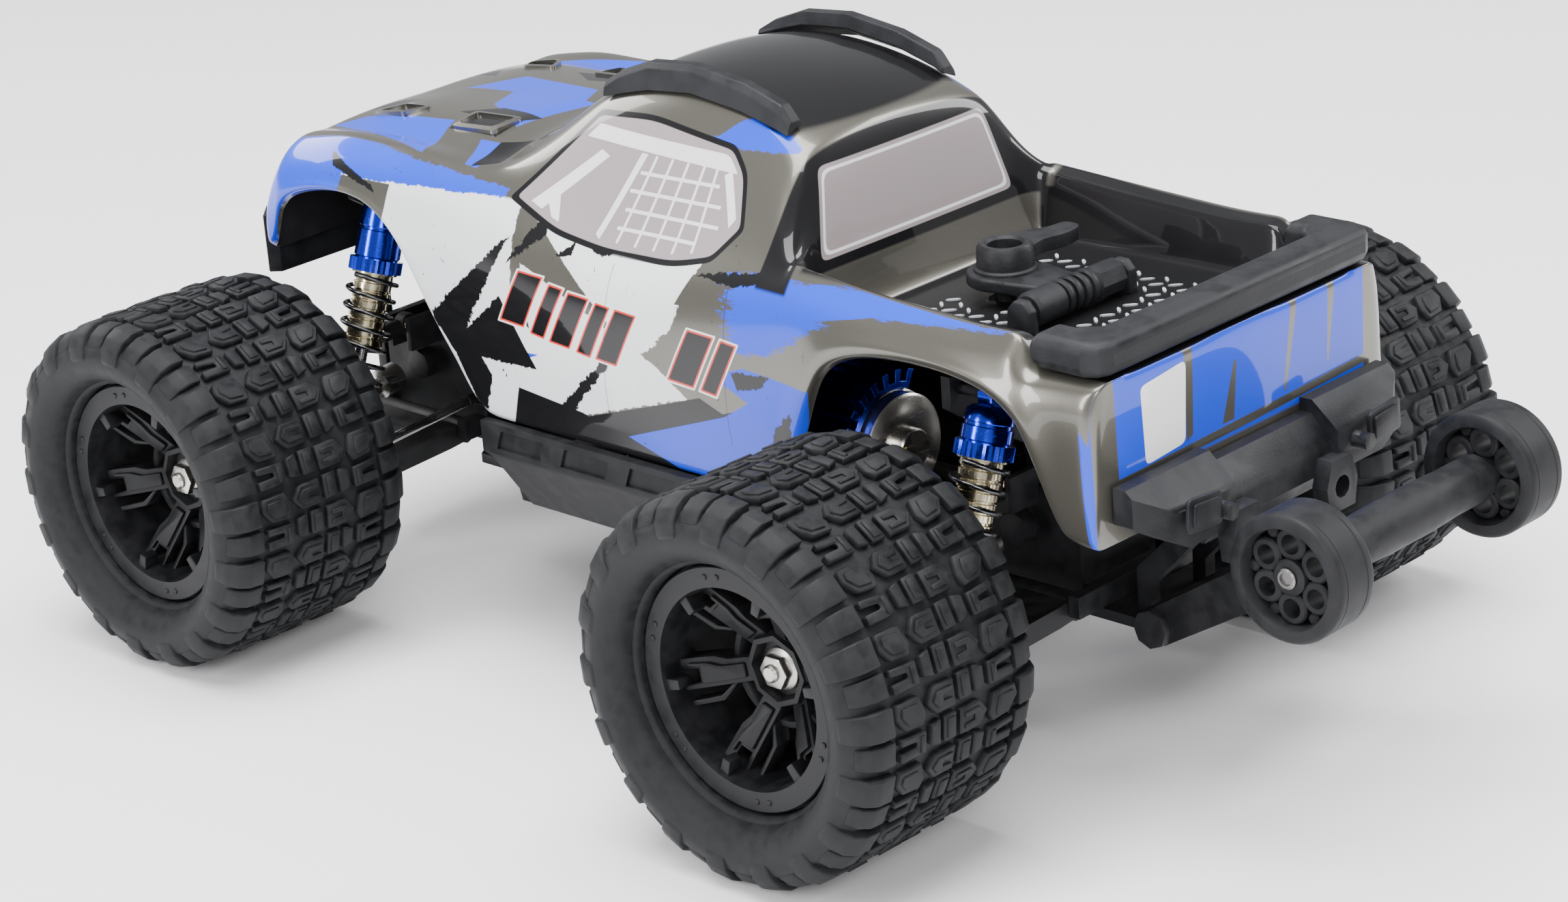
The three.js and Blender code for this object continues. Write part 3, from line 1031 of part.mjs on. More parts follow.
// A closed wall: the outer skin, the same skin moved in along its normals, and strips on open edges.
function shellSolid() {
  const keys = new Map();
  const outer = [];
  const vertex = ([x, y, z]) => {
    const key = [x, y, z].map((value) => Math.round(value * 1e3)).join(',');
    if (!keys.has(key)) {
      keys.set(key, outer.length);
      outer.push(new THREE.Vector3(x, y, z));
    }
    return keys.get(key);
  };
  const faces = [];
  for (const quad of shellQuads()) {
    const left = quad.map(vertex);
    const right = quad.map(([x, y, z]) => vertex([x === 0 ? 0 : -x, y, z])).reverse();
    faces.push([left[0], left[1], left[2]], [left[0], left[2], left[3]]);
    faces.push([right[0], right[1], right[3]], [right[1], right[2], right[3]]);
  }
  const normals = outer.map(() => new THREE.Vector3());
  for (const [a, b, c] of faces) {
    const edge1 = outer[b].clone().sub(outer[a]);
    const edge2 = outer[c].clone().sub(outer[a]);
    const normal = edge1.cross(edge2).normalize();
    for (const corner of [a, b, c]) normals[corner].add(normal);
  }
  const inner = outer.map((point, i) => point.clone().addScaledVector(normals[i].normalize(), -SHELL_WALL));
  const count = outer.length;
  const edges = new Map();
  for (const [a, b, c] of faces) {
    for (const [from, to] of [[a, b], [b, c], [c, a]]) {
      const back = `${to},${from}`;
      if (edges.has(back)) edges.delete(back);
      else edges.set(`${from},${to}`, [from, to]);
    }
  }
  const triangles = faces.flatMap(([a, b, c]) => [a, b, c, a + count, c + count, b + count]);
  for (const [from, to] of edges.values()) {
    triangles.push(from, from + count, to + count, from, to + count, to);
  }
  const geometry = new THREE.BufferGeometry();
  geometry.setAttribute('position', new THREE.BufferAttribute(
    new Float32Array([...outer, ...inner].flatMap((point) => point.toArray())), 3,
  ));
  geometry.setIndex(triangles);
  return toSolid(geometry);
}

function bodyShell() {
  const lug = box(
    [LATCH_HALF_LENGTH + 0.6, LATCH_PIVOT_Y - 3.4, BED_FLOOR_Z - 0.5],
    [LATCH_HALF_LENGTH + 3.4, LATCH_PIVOT_Y + 3.4, LATCH_PIVOT_Z + 3],
  );
  const pin = bar(
    PIN_RADIUS,
    [-LATCH_HALF_LENGTH - 1, LATCH_PIVOT_Y, LATCH_PIVOT_Z],
    [LATCH_HALF_LENGTH + 1, LATCH_PIVOT_Y, LATCH_PIVOT_Z],
  );
  const postHole = bar(POST_HOLE_RADIUS, [0, POST_Y, BED_FLOOR_Z - 9], [0, POST_Y, BED_FLOOR_Z + 9], 16);
  let solid = shellSolid();
  for (const piece of bothSides([lug])) solid = solid.add(toSolid(piece));
  return cut(solid.add(toSolid(pin)), postHole);
}
addPart('body_shell', bodyShell(), SHELL_PAINT);

// ---- Trim on the shell ----

function roofHeight(x, y) {
  const points = SHELL_LINES.map((line) => pointOnLine(line, y));
  const next = points.findIndex((point) => point[0] >= x);
  const [x0, , z0] = points[next - 1];
  const [x1, , z1] = points[next];
  return z0 + ((z1 - z0) * (x - x0)) / (x1 - x0);
}

// A closed body through rings of points that have the same count.
function loft(rings) {
  const count = rings[0].length;
  const positions = rings.flat(2);
  const triangles = [];
  for (let i = 0; i < rings.length - 1; i++) {
    for (let j = 0; j < count; j++) {
      const a = i * count + j;
      const b = i * count + ((j + 1) % count);
      triangles.push(a, b, b + count, a, b + count, a + count);
    }
  }
  const last = (rings.length - 1) * count;
  for (let j = 1; j < count - 1; j++) {
    triangles.push(0, j + 1, j, last, last + j, last + j + 1);
  }
  const geometry = new THREE.BufferGeometry();
  geometry.setAttribute('position', new THREE.BufferAttribute(new Float32Array(positions), 3));
  geometry.setIndex(triangles);
  return geometry;
}


function roofRail() {
  const rings = ROOF_RAIL_STATIONS.map(([y, height]) => {
    const across = [ROOF_RAIL_INNER_X, (ROOF_RAIL_INNER_X + ROOF_RAIL_OUTER_X) / 2, ROOF_RAIL_OUTER_X];
    const seat = across.map((x) => [x, withAxles(y), roofHeight(x, y) + GAP + 0.3]);
    const top = seat[0][2] + height;
    return [
      ...seat,
      [ROOF_RAIL_OUTER_X - 0.4, withAxles(y), top - 1.6],
      [ROOF_RAIL_OUTER_X - 1.6, withAxles(y), top],
      [ROOF_RAIL_INNER_X + 0.6, withAxles(y), top],
    ];
  });
  return loft(rings);
}
addPart('roof_rail_left', toSolid(roofRail()), BLACK_PLASTIC);
addPart('roof_rail_right', mirroredX(toGeometry(toSolid(roofRail()))), BLACK_PLASTIC);

// U-shaped cap over the tail and the rear ends of the bed walls.
function bedRail() {
  const outerX = 48.4;
  const outerY = withAxles(153.2);
  const frontY = withAxles(134.5);
  const innerX = outerX - BED_RAIL_WIDTH;
  const innerY = outerY - BED_RAIL_WIDTH;
  const half = [
    [innerX, frontY], [outerX, frontY], [outerX, outerY - 5], [outerX - 1.6, outerY - 1.6],
    [outerX - 5, outerY],
  ];
  const innerHalf = [[innerX - 3, innerY], [innerX, innerY - 3]];
  const flip = (points) => points.map(([x, y]) => [-x, y]).reverse();
  const plan = [...half, ...flip(half), ...flip(innerHalf), ...innerHalf];
  const bevel = 1.6;
  const geometry = new THREE.ExtrudeGeometry(outline(plan), {
    depth: BED_RAIL_HEIGHT - 2 * bevel,
    bevelEnabled: true,
    bevelThickness: bevel,
    bevelSize: bevel,
    bevelOffset: -bevel,
    bevelSegments: 1,
  });
  return geometry.translate(0, 0, BED_TOP_Z + GAP + 0.2 + bevel);
}
addPart('bed_rail', toSolid(bedRail()), BLACK_PLASTIC);

// Latch: ribbed barrel on its pin, tapering plate, ring over the post and a wing to lift it by.
function bodyLatch() {
  const radius = LATCH_PIVOT_Z - BED_FLOOR_Z - 0.5;
  const plateTop = LATCH_PIVOT_Z + 2.2;
  const plate = plateZ([
    [-8.5, POST_Y - 2], [-5, POST_Y - 7.5], [5, POST_Y - 7.5], [8.5, POST_Y - 2], [8, POST_Y + 5],
    [5, LATCH_PIVOT_Y], [-5, LATCH_PIVOT_Y], [-8, POST_Y + 5],
  ], plateTop - 3, plateTop);
  const wing = plateZ([
    [-3, POST_Y - 6], [-9, POST_Y - 7], [-17, POST_Y - 1], [-22, POST_Y - 1], [-22, POST_Y + 4],
    [-15, POST_Y + 5], [-8, POST_Y + 2], [-3, POST_Y + 4],
  ], plateTop + 1.5, plateTop + 5);
  const ring = bar(6.6, [0, POST_Y, plateTop - 1], [0, POST_Y, plateTop + 6.2], 20);
  const barrel = [-1, 1].map((side) => bar(
    radius,
    [side * 5.4, LATCH_PIVOT_Y, LATCH_PIVOT_Z],
    [side * LATCH_HALF_LENGTH, LATCH_PIVOT_Y, LATCH_PIVOT_Z],
    16,
  ));
  const ribs = bar(
    radius - 0.9, [-5.6, LATCH_PIVOT_Y, LATCH_PIVOT_Z], [5.6, LATCH_PIVOT_Y, LATCH_PIVOT_Z], 16,
  );
  const bore = bar(
    PIN_RADIUS + RUNNING_CLEARANCE,
    [-LATCH_HALF_LENGTH - 1, LATCH_PIVOT_Y, LATCH_PIVOT_Z],
    [LATCH_HALF_LENGTH + 1, LATCH_PIVOT_Y, LATCH_PIVOT_Z],
  );
  const ringHole = bar(4, [0, POST_Y, plateTop - 6], [0, POST_Y, plateTop + 8], 16);
  return cut(join(plate, wing, ring, ribs, ...barrel), bore, ringHole);
}
addPart('body_latch', bodyLatch(), BLACK_PLASTIC);

// ---- Stand the truck on its tyres, with the origin under the middle of its box ----

const boxFrontY = FRONT_AXLE_Y - TYRE_RADIUS;
const boxRearY = WHEELIE_Y + WHEELIE_RADIUS;
truck.position.set(0, -(boxFrontY + boxRearY) / 2, TYRE_RADIUS - AXLE_Z);
truck.updateMatrixWorld(true);

export default truck;
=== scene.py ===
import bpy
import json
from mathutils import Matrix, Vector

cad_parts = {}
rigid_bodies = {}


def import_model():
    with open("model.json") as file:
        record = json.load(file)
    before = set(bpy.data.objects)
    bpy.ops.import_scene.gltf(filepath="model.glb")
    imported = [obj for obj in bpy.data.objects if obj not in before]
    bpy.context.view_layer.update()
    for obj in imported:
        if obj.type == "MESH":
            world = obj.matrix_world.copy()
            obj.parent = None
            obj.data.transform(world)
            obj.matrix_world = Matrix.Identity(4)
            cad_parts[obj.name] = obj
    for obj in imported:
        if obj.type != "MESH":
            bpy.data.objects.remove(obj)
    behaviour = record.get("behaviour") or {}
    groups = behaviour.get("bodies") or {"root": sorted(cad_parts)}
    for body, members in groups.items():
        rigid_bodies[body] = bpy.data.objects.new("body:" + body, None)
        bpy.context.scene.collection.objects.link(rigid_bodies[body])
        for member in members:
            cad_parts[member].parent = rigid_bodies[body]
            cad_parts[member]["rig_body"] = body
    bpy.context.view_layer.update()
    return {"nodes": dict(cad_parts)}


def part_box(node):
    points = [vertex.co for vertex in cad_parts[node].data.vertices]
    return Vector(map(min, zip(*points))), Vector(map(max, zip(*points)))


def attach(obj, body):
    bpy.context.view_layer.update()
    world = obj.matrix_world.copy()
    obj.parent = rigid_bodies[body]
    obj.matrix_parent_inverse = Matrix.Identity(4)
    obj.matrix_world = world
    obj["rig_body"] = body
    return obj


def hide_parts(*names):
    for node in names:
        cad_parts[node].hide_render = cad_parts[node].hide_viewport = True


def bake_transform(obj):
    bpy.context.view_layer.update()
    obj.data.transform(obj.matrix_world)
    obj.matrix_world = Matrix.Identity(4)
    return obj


bl_info = {
    "name": "Radio-controlled monster truck",
    "version": (1, 0, 0),
    "blender": (4, 5, 0),
    "location": "View3D > Sidebar > Truck",
    "description": "Builds the looks of a toy monster truck around its packed frame",
    "category": "Add Mesh",
}

import json
import math

import bmesh
import bpy
from bpy.props import FloatProperty, FloatVectorProperty, IntProperty, PointerProperty
from mathutils import Matrix, Vector

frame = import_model()

MM = 0.001


def centre(node):
    """The middle of a frame node's box."""
    low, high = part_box(node)
    return (low + high) / 2


CORNERS = ("front_left", "front_right", "rear_left", "rear_right")
WHEEL_CENTRE = {corner: centre(f"{corner}_tyre") for corner in CORNERS}
FRONT_AXLE_Y = WHEEL_CENTRE["front_left"].y
REAR_AXLE_Y = WHEEL_CENTRE["rear_left"].y
MID_Y = (FRONT_AXLE_Y + REAR_AXLE_Y) / 2


def side_of(name):
    """+1 for the truck's left and -1 for its right."""
    return -1 if "right" in name else 1


def spot(x, y, z):
    """A point given in millimetres from the middle of the wheelbase, at floor level."""
    return Vector((x * MM, MID_Y + y * MM, z * MM))


# ---- Mesh helpers ----

def lathe(bm, profile, start, direction, steps=32):
    """Turns (distance, radius) points about the line through start along direction."""
    old = set(bm.verts)
    verts = [bm.verts.new((along, 0, radius)) for along, radius in profile]
    edges = [bm.edges.new(pair) for pair in zip(verts, verts[1:])]
    bmesh.ops.spin(
        bm, geom=verts + edges, cent=(0, 0, 0), axis=(1, 0, 0), dvec=(0, 0, 0),
        angle=math.tau, steps=steps, use_merge=True, use_duplicate=False,
    )
    bmesh.ops.remove_doubles(bm, verts=[v for v in bm.verts if v not in old], dist=1e-7)
    new = [v for v in bm.verts if v not in old]
    turn = Vector((1, 0, 0)).rotation_difference(Vector(direction)).to_matrix().to_4x4()
    bmesh.ops.transform(bm, matrix=Matrix.Translation(start) @ turn, verts=new)
    return new


def rod(bm, radius, start, end, sides=16, ease=0.0):
    """A closed round bar between two points, with its end edges eased."""
    start, end = Vector(start), Vector(end)
    length = (end - start).length
    ease = min(ease, radius / 2, length / 3)
    profile = [(0, 0), (0, radius - ease), (ease, radius), (length - ease, radius), (length, radius - ease),
               (length, 0)]
    if ease == 0:
        profile = [(0, 0), (0, radius), (length, radius), (length, 0)]
    return lathe(bm, profile, start, end - start, sides)


PLANES = {
    "X": Matrix(((0, 0, 1, 0), (1, 0, 0, 0), (0, 1, 0, 0), (0, 0, 0, 1))),
    "Y": Matrix(((1, 0, 0, 0), (0, 0, 1, 0), (0, 1, 0, 0), (0, 0, 0, 1))),
    "Z": Matrix.Identity(4),
}


def plate(bm, outline, axis, low, high, ease=0.0, segments=2):
    """An outline in the plane across an axis, thick from low to high along it, with eased edges.

    Outline points are (y, z) for axis X, (x, z) for axis Y and (x, y) for axis Z.
    """
    old = set(bm.verts)
    face = bm.faces.new([bm.verts.new((u, v, low)) for u, v in outline])
    grown = bmesh.ops.extrude_face_region(bm, geom=[face])["geom"]
    top = [item for item in grown if isinstance(item, bmesh.types.BMVert)]
    bmesh.ops.translate(bm, vec=(0, 0, high - low), verts=top)
    new = [v for v in bm.verts if v not in old]
    bmesh.ops.transform(bm, matrix=PLANES[axis], verts=new)
    faces = list({f for v in new for f in v.link_faces})
    bmesh.ops.recalc_face_normals(bm, faces=faces)
    if ease:
        edges = list({e for v in new for e in v.link_edges})
        soften_edges(bm, edges, ease, segments)
        new = [v for v in bm.verts if v not in old]
    return new


def soften_edges(bm, edges, width, segments=2):
    bmesh.ops.bevel(
        bm, geom=edges, offset=width, offset_type="OFFSET", affect="EDGES", segments=segments,
        profile=0.5, material=-1, clamp_overlap=True,
    )


def block(bm, low, high, ease=0.0, segments=2):
    """A box from its lowest to its highest corner, with eased edges."""
    (x0, y0, z0), (x1, y1, z1) = low, high
    return plate(bm, [(x0, y0), (x1, y0), (x1, y1), (x0, y1)], "Z", z0, z1, ease, segments)


def arc(centre_point, radius, start, end, count):
    """Points on an arc, angles in degrees."""
    cu, cv = centre_point
    angles = [math.radians(start + (end - start) * i / count) for i in range(count + 1)]
    return [(cu + radius * math.cos(a), cv + radius * math.sin(a)) for a in angles]


def rounded(points, radius, count=4):
    """The outline with each corner replaced by an arc-like curve that starts radius before it."""
    result = []
    for i, corner in enumerate(points):
        corner = Vector(corner)
        before = Vector(points[i - 1]) - corner
        after = Vector(points[(i + 1) % len(points)]) - corner
        reach = min(radius, before.length * 0.48, after.length * 0.48)
        p0 = corner + before.normalized() * reach
        p2 = corner + after.normalized() * reach
        for k in range(count + 1):
            t = k / count
            result.append(tuple(p0 * (1 - t) ** 2 + corner * (2 * t * (1 - t)) + p2 * t ** 2))
    return result


def mirror_x(bm):
    """Adds the mirror image across the truck's middle plane."""
    bmesh.ops.mirror(bm, geom=bm.verts[:] + bm.edges[:] + bm.faces[:], axis="X", merge_dist=1e-6)


def swept_tube(points, radius, resolution=4):
    """A mesh tube with round ends along a smooth run of points."""
    curve = bpy.data.curves.new("run", "CURVE")
    curve.dimensions = "3D"
    curve.bevel_depth = radius
    curve.bevel_resolution = resolution
    curve.use_fill_caps = True
    spline = curve.splines.new("POLY")
    spline.points.add(len(points) - 1)
    for target, point in zip(spline.points, points):
        target.co = (*point, 1)
    holder = bpy.data.objects.new("run", curve)
    mesh = bpy.data.meshes.new_from_object(holder)
    bpy.data.objects.remove(holder)
    bpy.data.curves.remove(curve)
    return mesh


def add_tube(bm, points, radius, resolution=4):
    mesh = swept_tube(points, radius, resolution)
    bm.from_mesh(mesh)
    bpy.data.meshes.remove(mesh)


def finish_piece(name, bm, material, body, replaces=(), sharp=38, recalc=True):
    """Turns a bmesh into a shaded object that rides on a body, or on none yet if body is None."""
    if recalc:
        bmesh.ops.recalc_face_normals(bm, faces=bm.faces)
    mesh = bpy.data.meshes.new(name)
    bm.to_mesh(mesh)
    bm.free()
    materials = material if isinstance(material, (list, tuple)) else [material]
    for item in materials:
        mesh.materials.append(item)
    mesh.shade_smooth()
    mesh.set_sharp_from_angle(angle=math.radians(sharp))
    piece = bpy.data.objects.new(name, mesh)
    bpy.context.scene.collection.objects.link(piece)
    if body:
        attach(piece, body)
    if replaces:
        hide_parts(*replaces)
    return piece


def eased_copy(node, material, width=0.25 * MM, sharp=50, flat_angle=2):
    """A frame node's shape with its flat triangles joined up and its sharp edges eased."""
    bm = bmesh.new()
    bm.from_mesh(frame["nodes"][node].data)
    bmesh.ops.remove_doubles(bm, verts=bm.verts, dist=1e-6)
    bmesh.ops.dissolve_limit(
        bm, angle_limit=math.radians(flat_angle), verts=bm.verts, edges=bm.edges,
        use_dissolve_boundaries=False,
    )
    piece = finish_piece(
        f"{node}_eased", bm, material, frame["nodes"][node]["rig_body"], (node,), sharp, recalc=False,
    )
    bevel = piece.modifiers.new("eased edges", "BEVEL")
    bevel.width = width
    bevel.segments = 2
    bevel.limit_method = "ANGLE"
    bevel.angle_limit = math.radians(sharp)
    bevel.use_clamp_overlap = True
    bevel.harden_normals = True
    return piece




# ---- Material helpers ----

class Graph:
    """Adds nodes to a tree and joins them, so that a formula reads from left to right."""

    def __init__(self, tree):
        self.tree = tree

    def node(self, kind, **settings):
        made = self.tree.nodes.new(kind)
        for key, value in settings.items():
            setattr(made, key, value)
        return made

    def feed(self, socket, value):
        if isinstance(value, bpy.types.NodeSocket):
            self.tree.links.new(value, socket)
        else:
            socket.default_value = value

    def math(self, operation, *values):
        made = self.node("ShaderNodeMath", operation=operation)
        for socket, value in zip(made.inputs, values):
            self.feed(socket, value)
        return made.outputs[0]

    def vector(self, operation, *values):
        made = self.node("ShaderNodeVectorMath", operation=operation)
        for socket, value in zip(made.inputs, values):
            self.feed(socket, value)
        return made.outputs["Value" if operation in {"DOT_PRODUCT", "LENGTH", "DISTANCE"} else "Vector"]

    def mix(self, factor, first, second):
        """Colour first where factor is 0 and colour second where it is 1."""
        made = self.node("ShaderNodeMix", data_type="RGBA")
        self.feed(made.inputs[0], factor)
        self.feed(made.inputs[6], first)
        self.feed(made.inputs[7], second)
        return made.outputs[2]

    def blend_value(self, factor, first, second):
        made = self.node("ShaderNodeMix", data_type="FLOAT")
        self.feed(made.inputs[0], factor)
        self.feed(made.inputs[2], first)
        self.feed(made.inputs[3], second)
        return made.outputs[0]

    def ramp(self, value, low, high, to_low=0.0, to_high=1.0):
        """A smooth step from to_low to to_high while value goes from low to high."""
        made = self.node("ShaderNodeMapRange", interpolation_type="SMOOTHSTEP")
        for socket, item in zip(made.inputs, (value, low, high, to_low, to_high)):
            self.feed(socket, item)
        return made.outputs[0]

    def noise(self, vector, scale, detail=3.0, roughness=0.55, distortion=0.0):
        made = self.node("ShaderNodeTexNoise")
        self.feed(made.inputs["Vector"], vector)
        self.feed(made.inputs["Scale"], scale)
        made.inputs["Detail"].default_value = detail
        made.inputs["Roughness"].default_value = roughness
        made.inputs["Distortion"].default_value = distortion
        return made.outputs[0]

    def split(self, vector):
        return self.node_with("ShaderNodeSeparateXYZ", vector).outputs

    def node_with(self, kind, value):
        made = self.node(kind)
        self.feed(made.inputs[0], value)
        return made

    def join(self, x, y, z):
        made = self.node("ShaderNodeCombineXYZ")
        for socket, value in zip(made.inputs, (x, y, z)):
            self.feed(socket, value)
        return made.outputs[0]

    def object_point(self):
        return self.node("ShaderNodeTexCoord").outputs["Object"]

    def stretched(self, vector, scale, location=(0, 0, 0), rotation=(0, 0, 0)):
        made = self.node("ShaderNodeMapping")
        self.feed(made.inputs[0], vector)
        made.inputs["Location"].default_value = location
        made.inputs["Rotation"].default_value = rotation
        made.inputs["Scale"].default_value = scale
        return made.outputs[0]

    def bump(self, height, distance, strength=1.0):
        made = self.node("ShaderNodeBump")
        made.inputs["Strength"].default_value = strength
        made.inputs["Distance"].default_value = distance
        self.feed(made.inputs["Height"], height)
        return made.outputs[0]

    def use(self, group, **values):
        """Places a node group; its sockets take values by name, with _ for a blank."""
        made = self.node("ShaderNodeGroup", node_tree=group)
        for key, value in values.items():
            self.feed(made.inputs[key.replace("_", " ")], value)
        return made.outputs


def new_group(name, inputs, outputs):
    """An empty shader group with named sockets; gives the group, its Graph, its inputs and its outputs."""
    tree = bpy.data.node_groups.new(name, "ShaderNodeTree")
    for label, kind in inputs:
        tree.interface.new_socket(label, in_out="INPUT", socket_type=kind)
    for label, kind in outputs:
        tree.interface.new_socket(label, in_out="OUTPUT", socket_type=kind)
    graph = Graph(tree)
    source = graph.node("NodeGroupInput").outputs
    sink = graph.node("NodeGroupOutput").inputs
    return tree, graph, source, sink


VALUE, VECTOR, COLOUR = "NodeSocketFloat", "NodeSocketVector", "NodeSocketColor"


def grain_group():
    """Moulded or cast surface: a fine pebbled height and a roughness that wanders."""
    tree, g, given, out = new_group(
        "Surface grain",
        [("Scale", VALUE), ("Low Roughness", VALUE), ("High Roughness", VALUE)],
        [("Roughness", VALUE), ("Height", VALUE), ("Cloud", VALUE)],
    )
    point = g.object_point()
    fine = g.noise(point, given["Scale"], 4, 0.6)
    coarse = g.noise(point, g.math("MULTIPLY", given["Scale"], 0.11), 3, 0.5)
    g.feed(out["Height"], g.math("ADD", fine, g.math("MULTIPLY", coarse, 0.6)))
    wander = g.ramp(coarse, 0.35, 0.65)
    g.feed(out["Roughness"], g.blend_value(wander, given["Low Roughness"], given["High Roughness"]))
    g.feed(out["Cloud"], wander)
    return tree


def scratch_group():
    """Fine handling scratches: thin bright lines in two directions."""
    tree, g, given, out = new_group("Fine scratches", [("Scale", VALUE)], [("Mask", VALUE)])
    point = g.object_point()
    masks = []
    for turn in (0.5, 2.2):
        lines = g.noise(
            g.stretched(point, (1, 14, 14), rotation=(turn, turn / 2, turn)), given["Scale"], 2, 0.5,
        )
        masks.append(g.ramp(lines, 0.66, 0.72))
    g.feed(out["Mask"], g.math("MAXIMUM", *masks))
    return tree


def field_group():
    """Signed distance in millimetres to a four-sided shape on the plane across X, with rounded corners."""
    tree, g, given, out = new_group(
        "Four-sided shape",
        [("Point", VECTOR), ("A", VECTOR), ("B", VECTOR), ("C", VECTOR), ("D", VECTOR), ("Rounding", VALUE)],
        [("Distance", VALUE)],
    )
    corners = [given[name] for name in "ABCD"]
    total = None
    for start, end in zip(corners, corners[1:] + corners[:1]):
        edge = g.vector("SUBTRACT", end, start)
        outward = g.vector("NORMALIZE", g.vector("CROSS_PRODUCT", edge, (1, 0, 0)))
        reach = g.vector("DOT_PRODUCT", g.vector("SUBTRACT", given["Point"], start), outward)
        total = reach if total is None else g.math("SMOOTH_MAX", total, reach, given["Rounding"])
    g.feed(out["Distance"], total)
    return tree


def speck_group():
    """Crackle for a splattered paint job: small torn flecks with a few long thin ones among them."""
    tree, g, given, out = new_group("Torn flecks", [("Point", VECTOR), ("Amount", VALUE)], [("Mask", VALUE)])
    limit = g.math("SUBTRACT", 0.80, g.math("MULTIPLY", given["Amount"], 0.14))
    warped = g.stretched(given["Point"], (1, 1, 0.55), rotation=(0.7, 0, 0))
    flecks = g.noise(warped, 0.62, 5, 0.72, 0.6)
    long_ones = g.noise(g.stretched(given["Point"], (0.35, 1, 0.22), rotation=(-0.9, 0, 0)), 0.8, 4, 0.7, 1.0)
    patches = g.noise(given["Point"], 0.07, 2, 0.5)
    both = g.math("MAXIMUM", flecks, g.math("SUBTRACT", long_ones, 0.015))
    local = g.math("ADD", both, g.math("MULTIPLY", g.math("SUBTRACT", patches, 0.5), 0.22))
    over = g.math("SUBTRACT", local, limit)
    g.feed(out["Mask"], g.ramp(over, 0.0, 0.012))
    return tree


GROUPS = {}


def build_groups():
    GROUPS["grain"] = grain_group()
    GROUPS["scratches"] = scratch_group()
    GROUPS["field"] = field_group()
    GROUPS["flecks"] = speck_group()


def new_material(name):
    """A node material; returns it, its Graph and its shader's inputs."""
    material = bpy.data.materials.new(name)
    material.use_nodes = True
    graph = Graph(material.node_tree)
    return material, graph, material.node_tree.nodes["Principled BSDF"].inputs


def moulded(name, colour, low=0.45, high=0.6, scale=2600, depth=0.02 * MM, specular=0.5):
    """Moulded plastic or rubber with a fine grain and a slow change of shade."""
    material, g, shader = new_material(name)
    grain = g.use(GROUPS["grain"], Scale=scale, Low_Roughness=low, High_Roughness=high)
    lighter = [min(1, c * 1.35 + 0.004) for c in colour]
    shade = g.mix(grain["Cloud"], (*colour, 1), (*lighter, 1))
    g.feed(shader["Base Color"], shade)
    g.feed(shader["Roughness"], grain["Roughness"])
    g.feed(shader["Normal"], g.bump(grain["Height"], depth))
    shader["Specular IOR Level"].default_value = specular
    return material


def metal(name, colour, low=0.18, high=0.3, scale=900, depth=0.006 * MM, coat=0.0):
    """Turned or polished metal with fine scratches."""
    material, g, shader = new_material(name)
    grain = g.use(GROUPS["grain"], Scale=scale, Low_Roughness=low, High_Roughness=high)
    scratches = g.use(GROUPS["scratches"], Scale=140)["Mask"]
    darker = [c * 0.8 for c in colour]
    g.feed(shader["Base Color"], g.mix(grain["Cloud"], (*colour, 1), (*darker, 1)))
    g.feed(shader["Roughness"], g.math("ADD", grain["Roughness"], g.math("MULTIPLY", scratches, 0.15)))
    g.feed(shader["Normal"], g.bump(grain["Height"], depth))
    shader["Metallic"].default_value = 1.0
    shader["Coat Weight"].default_value = coat
    shader["Coat Roughness"].default_value = 0.06
    return material


MATERIALS = {}


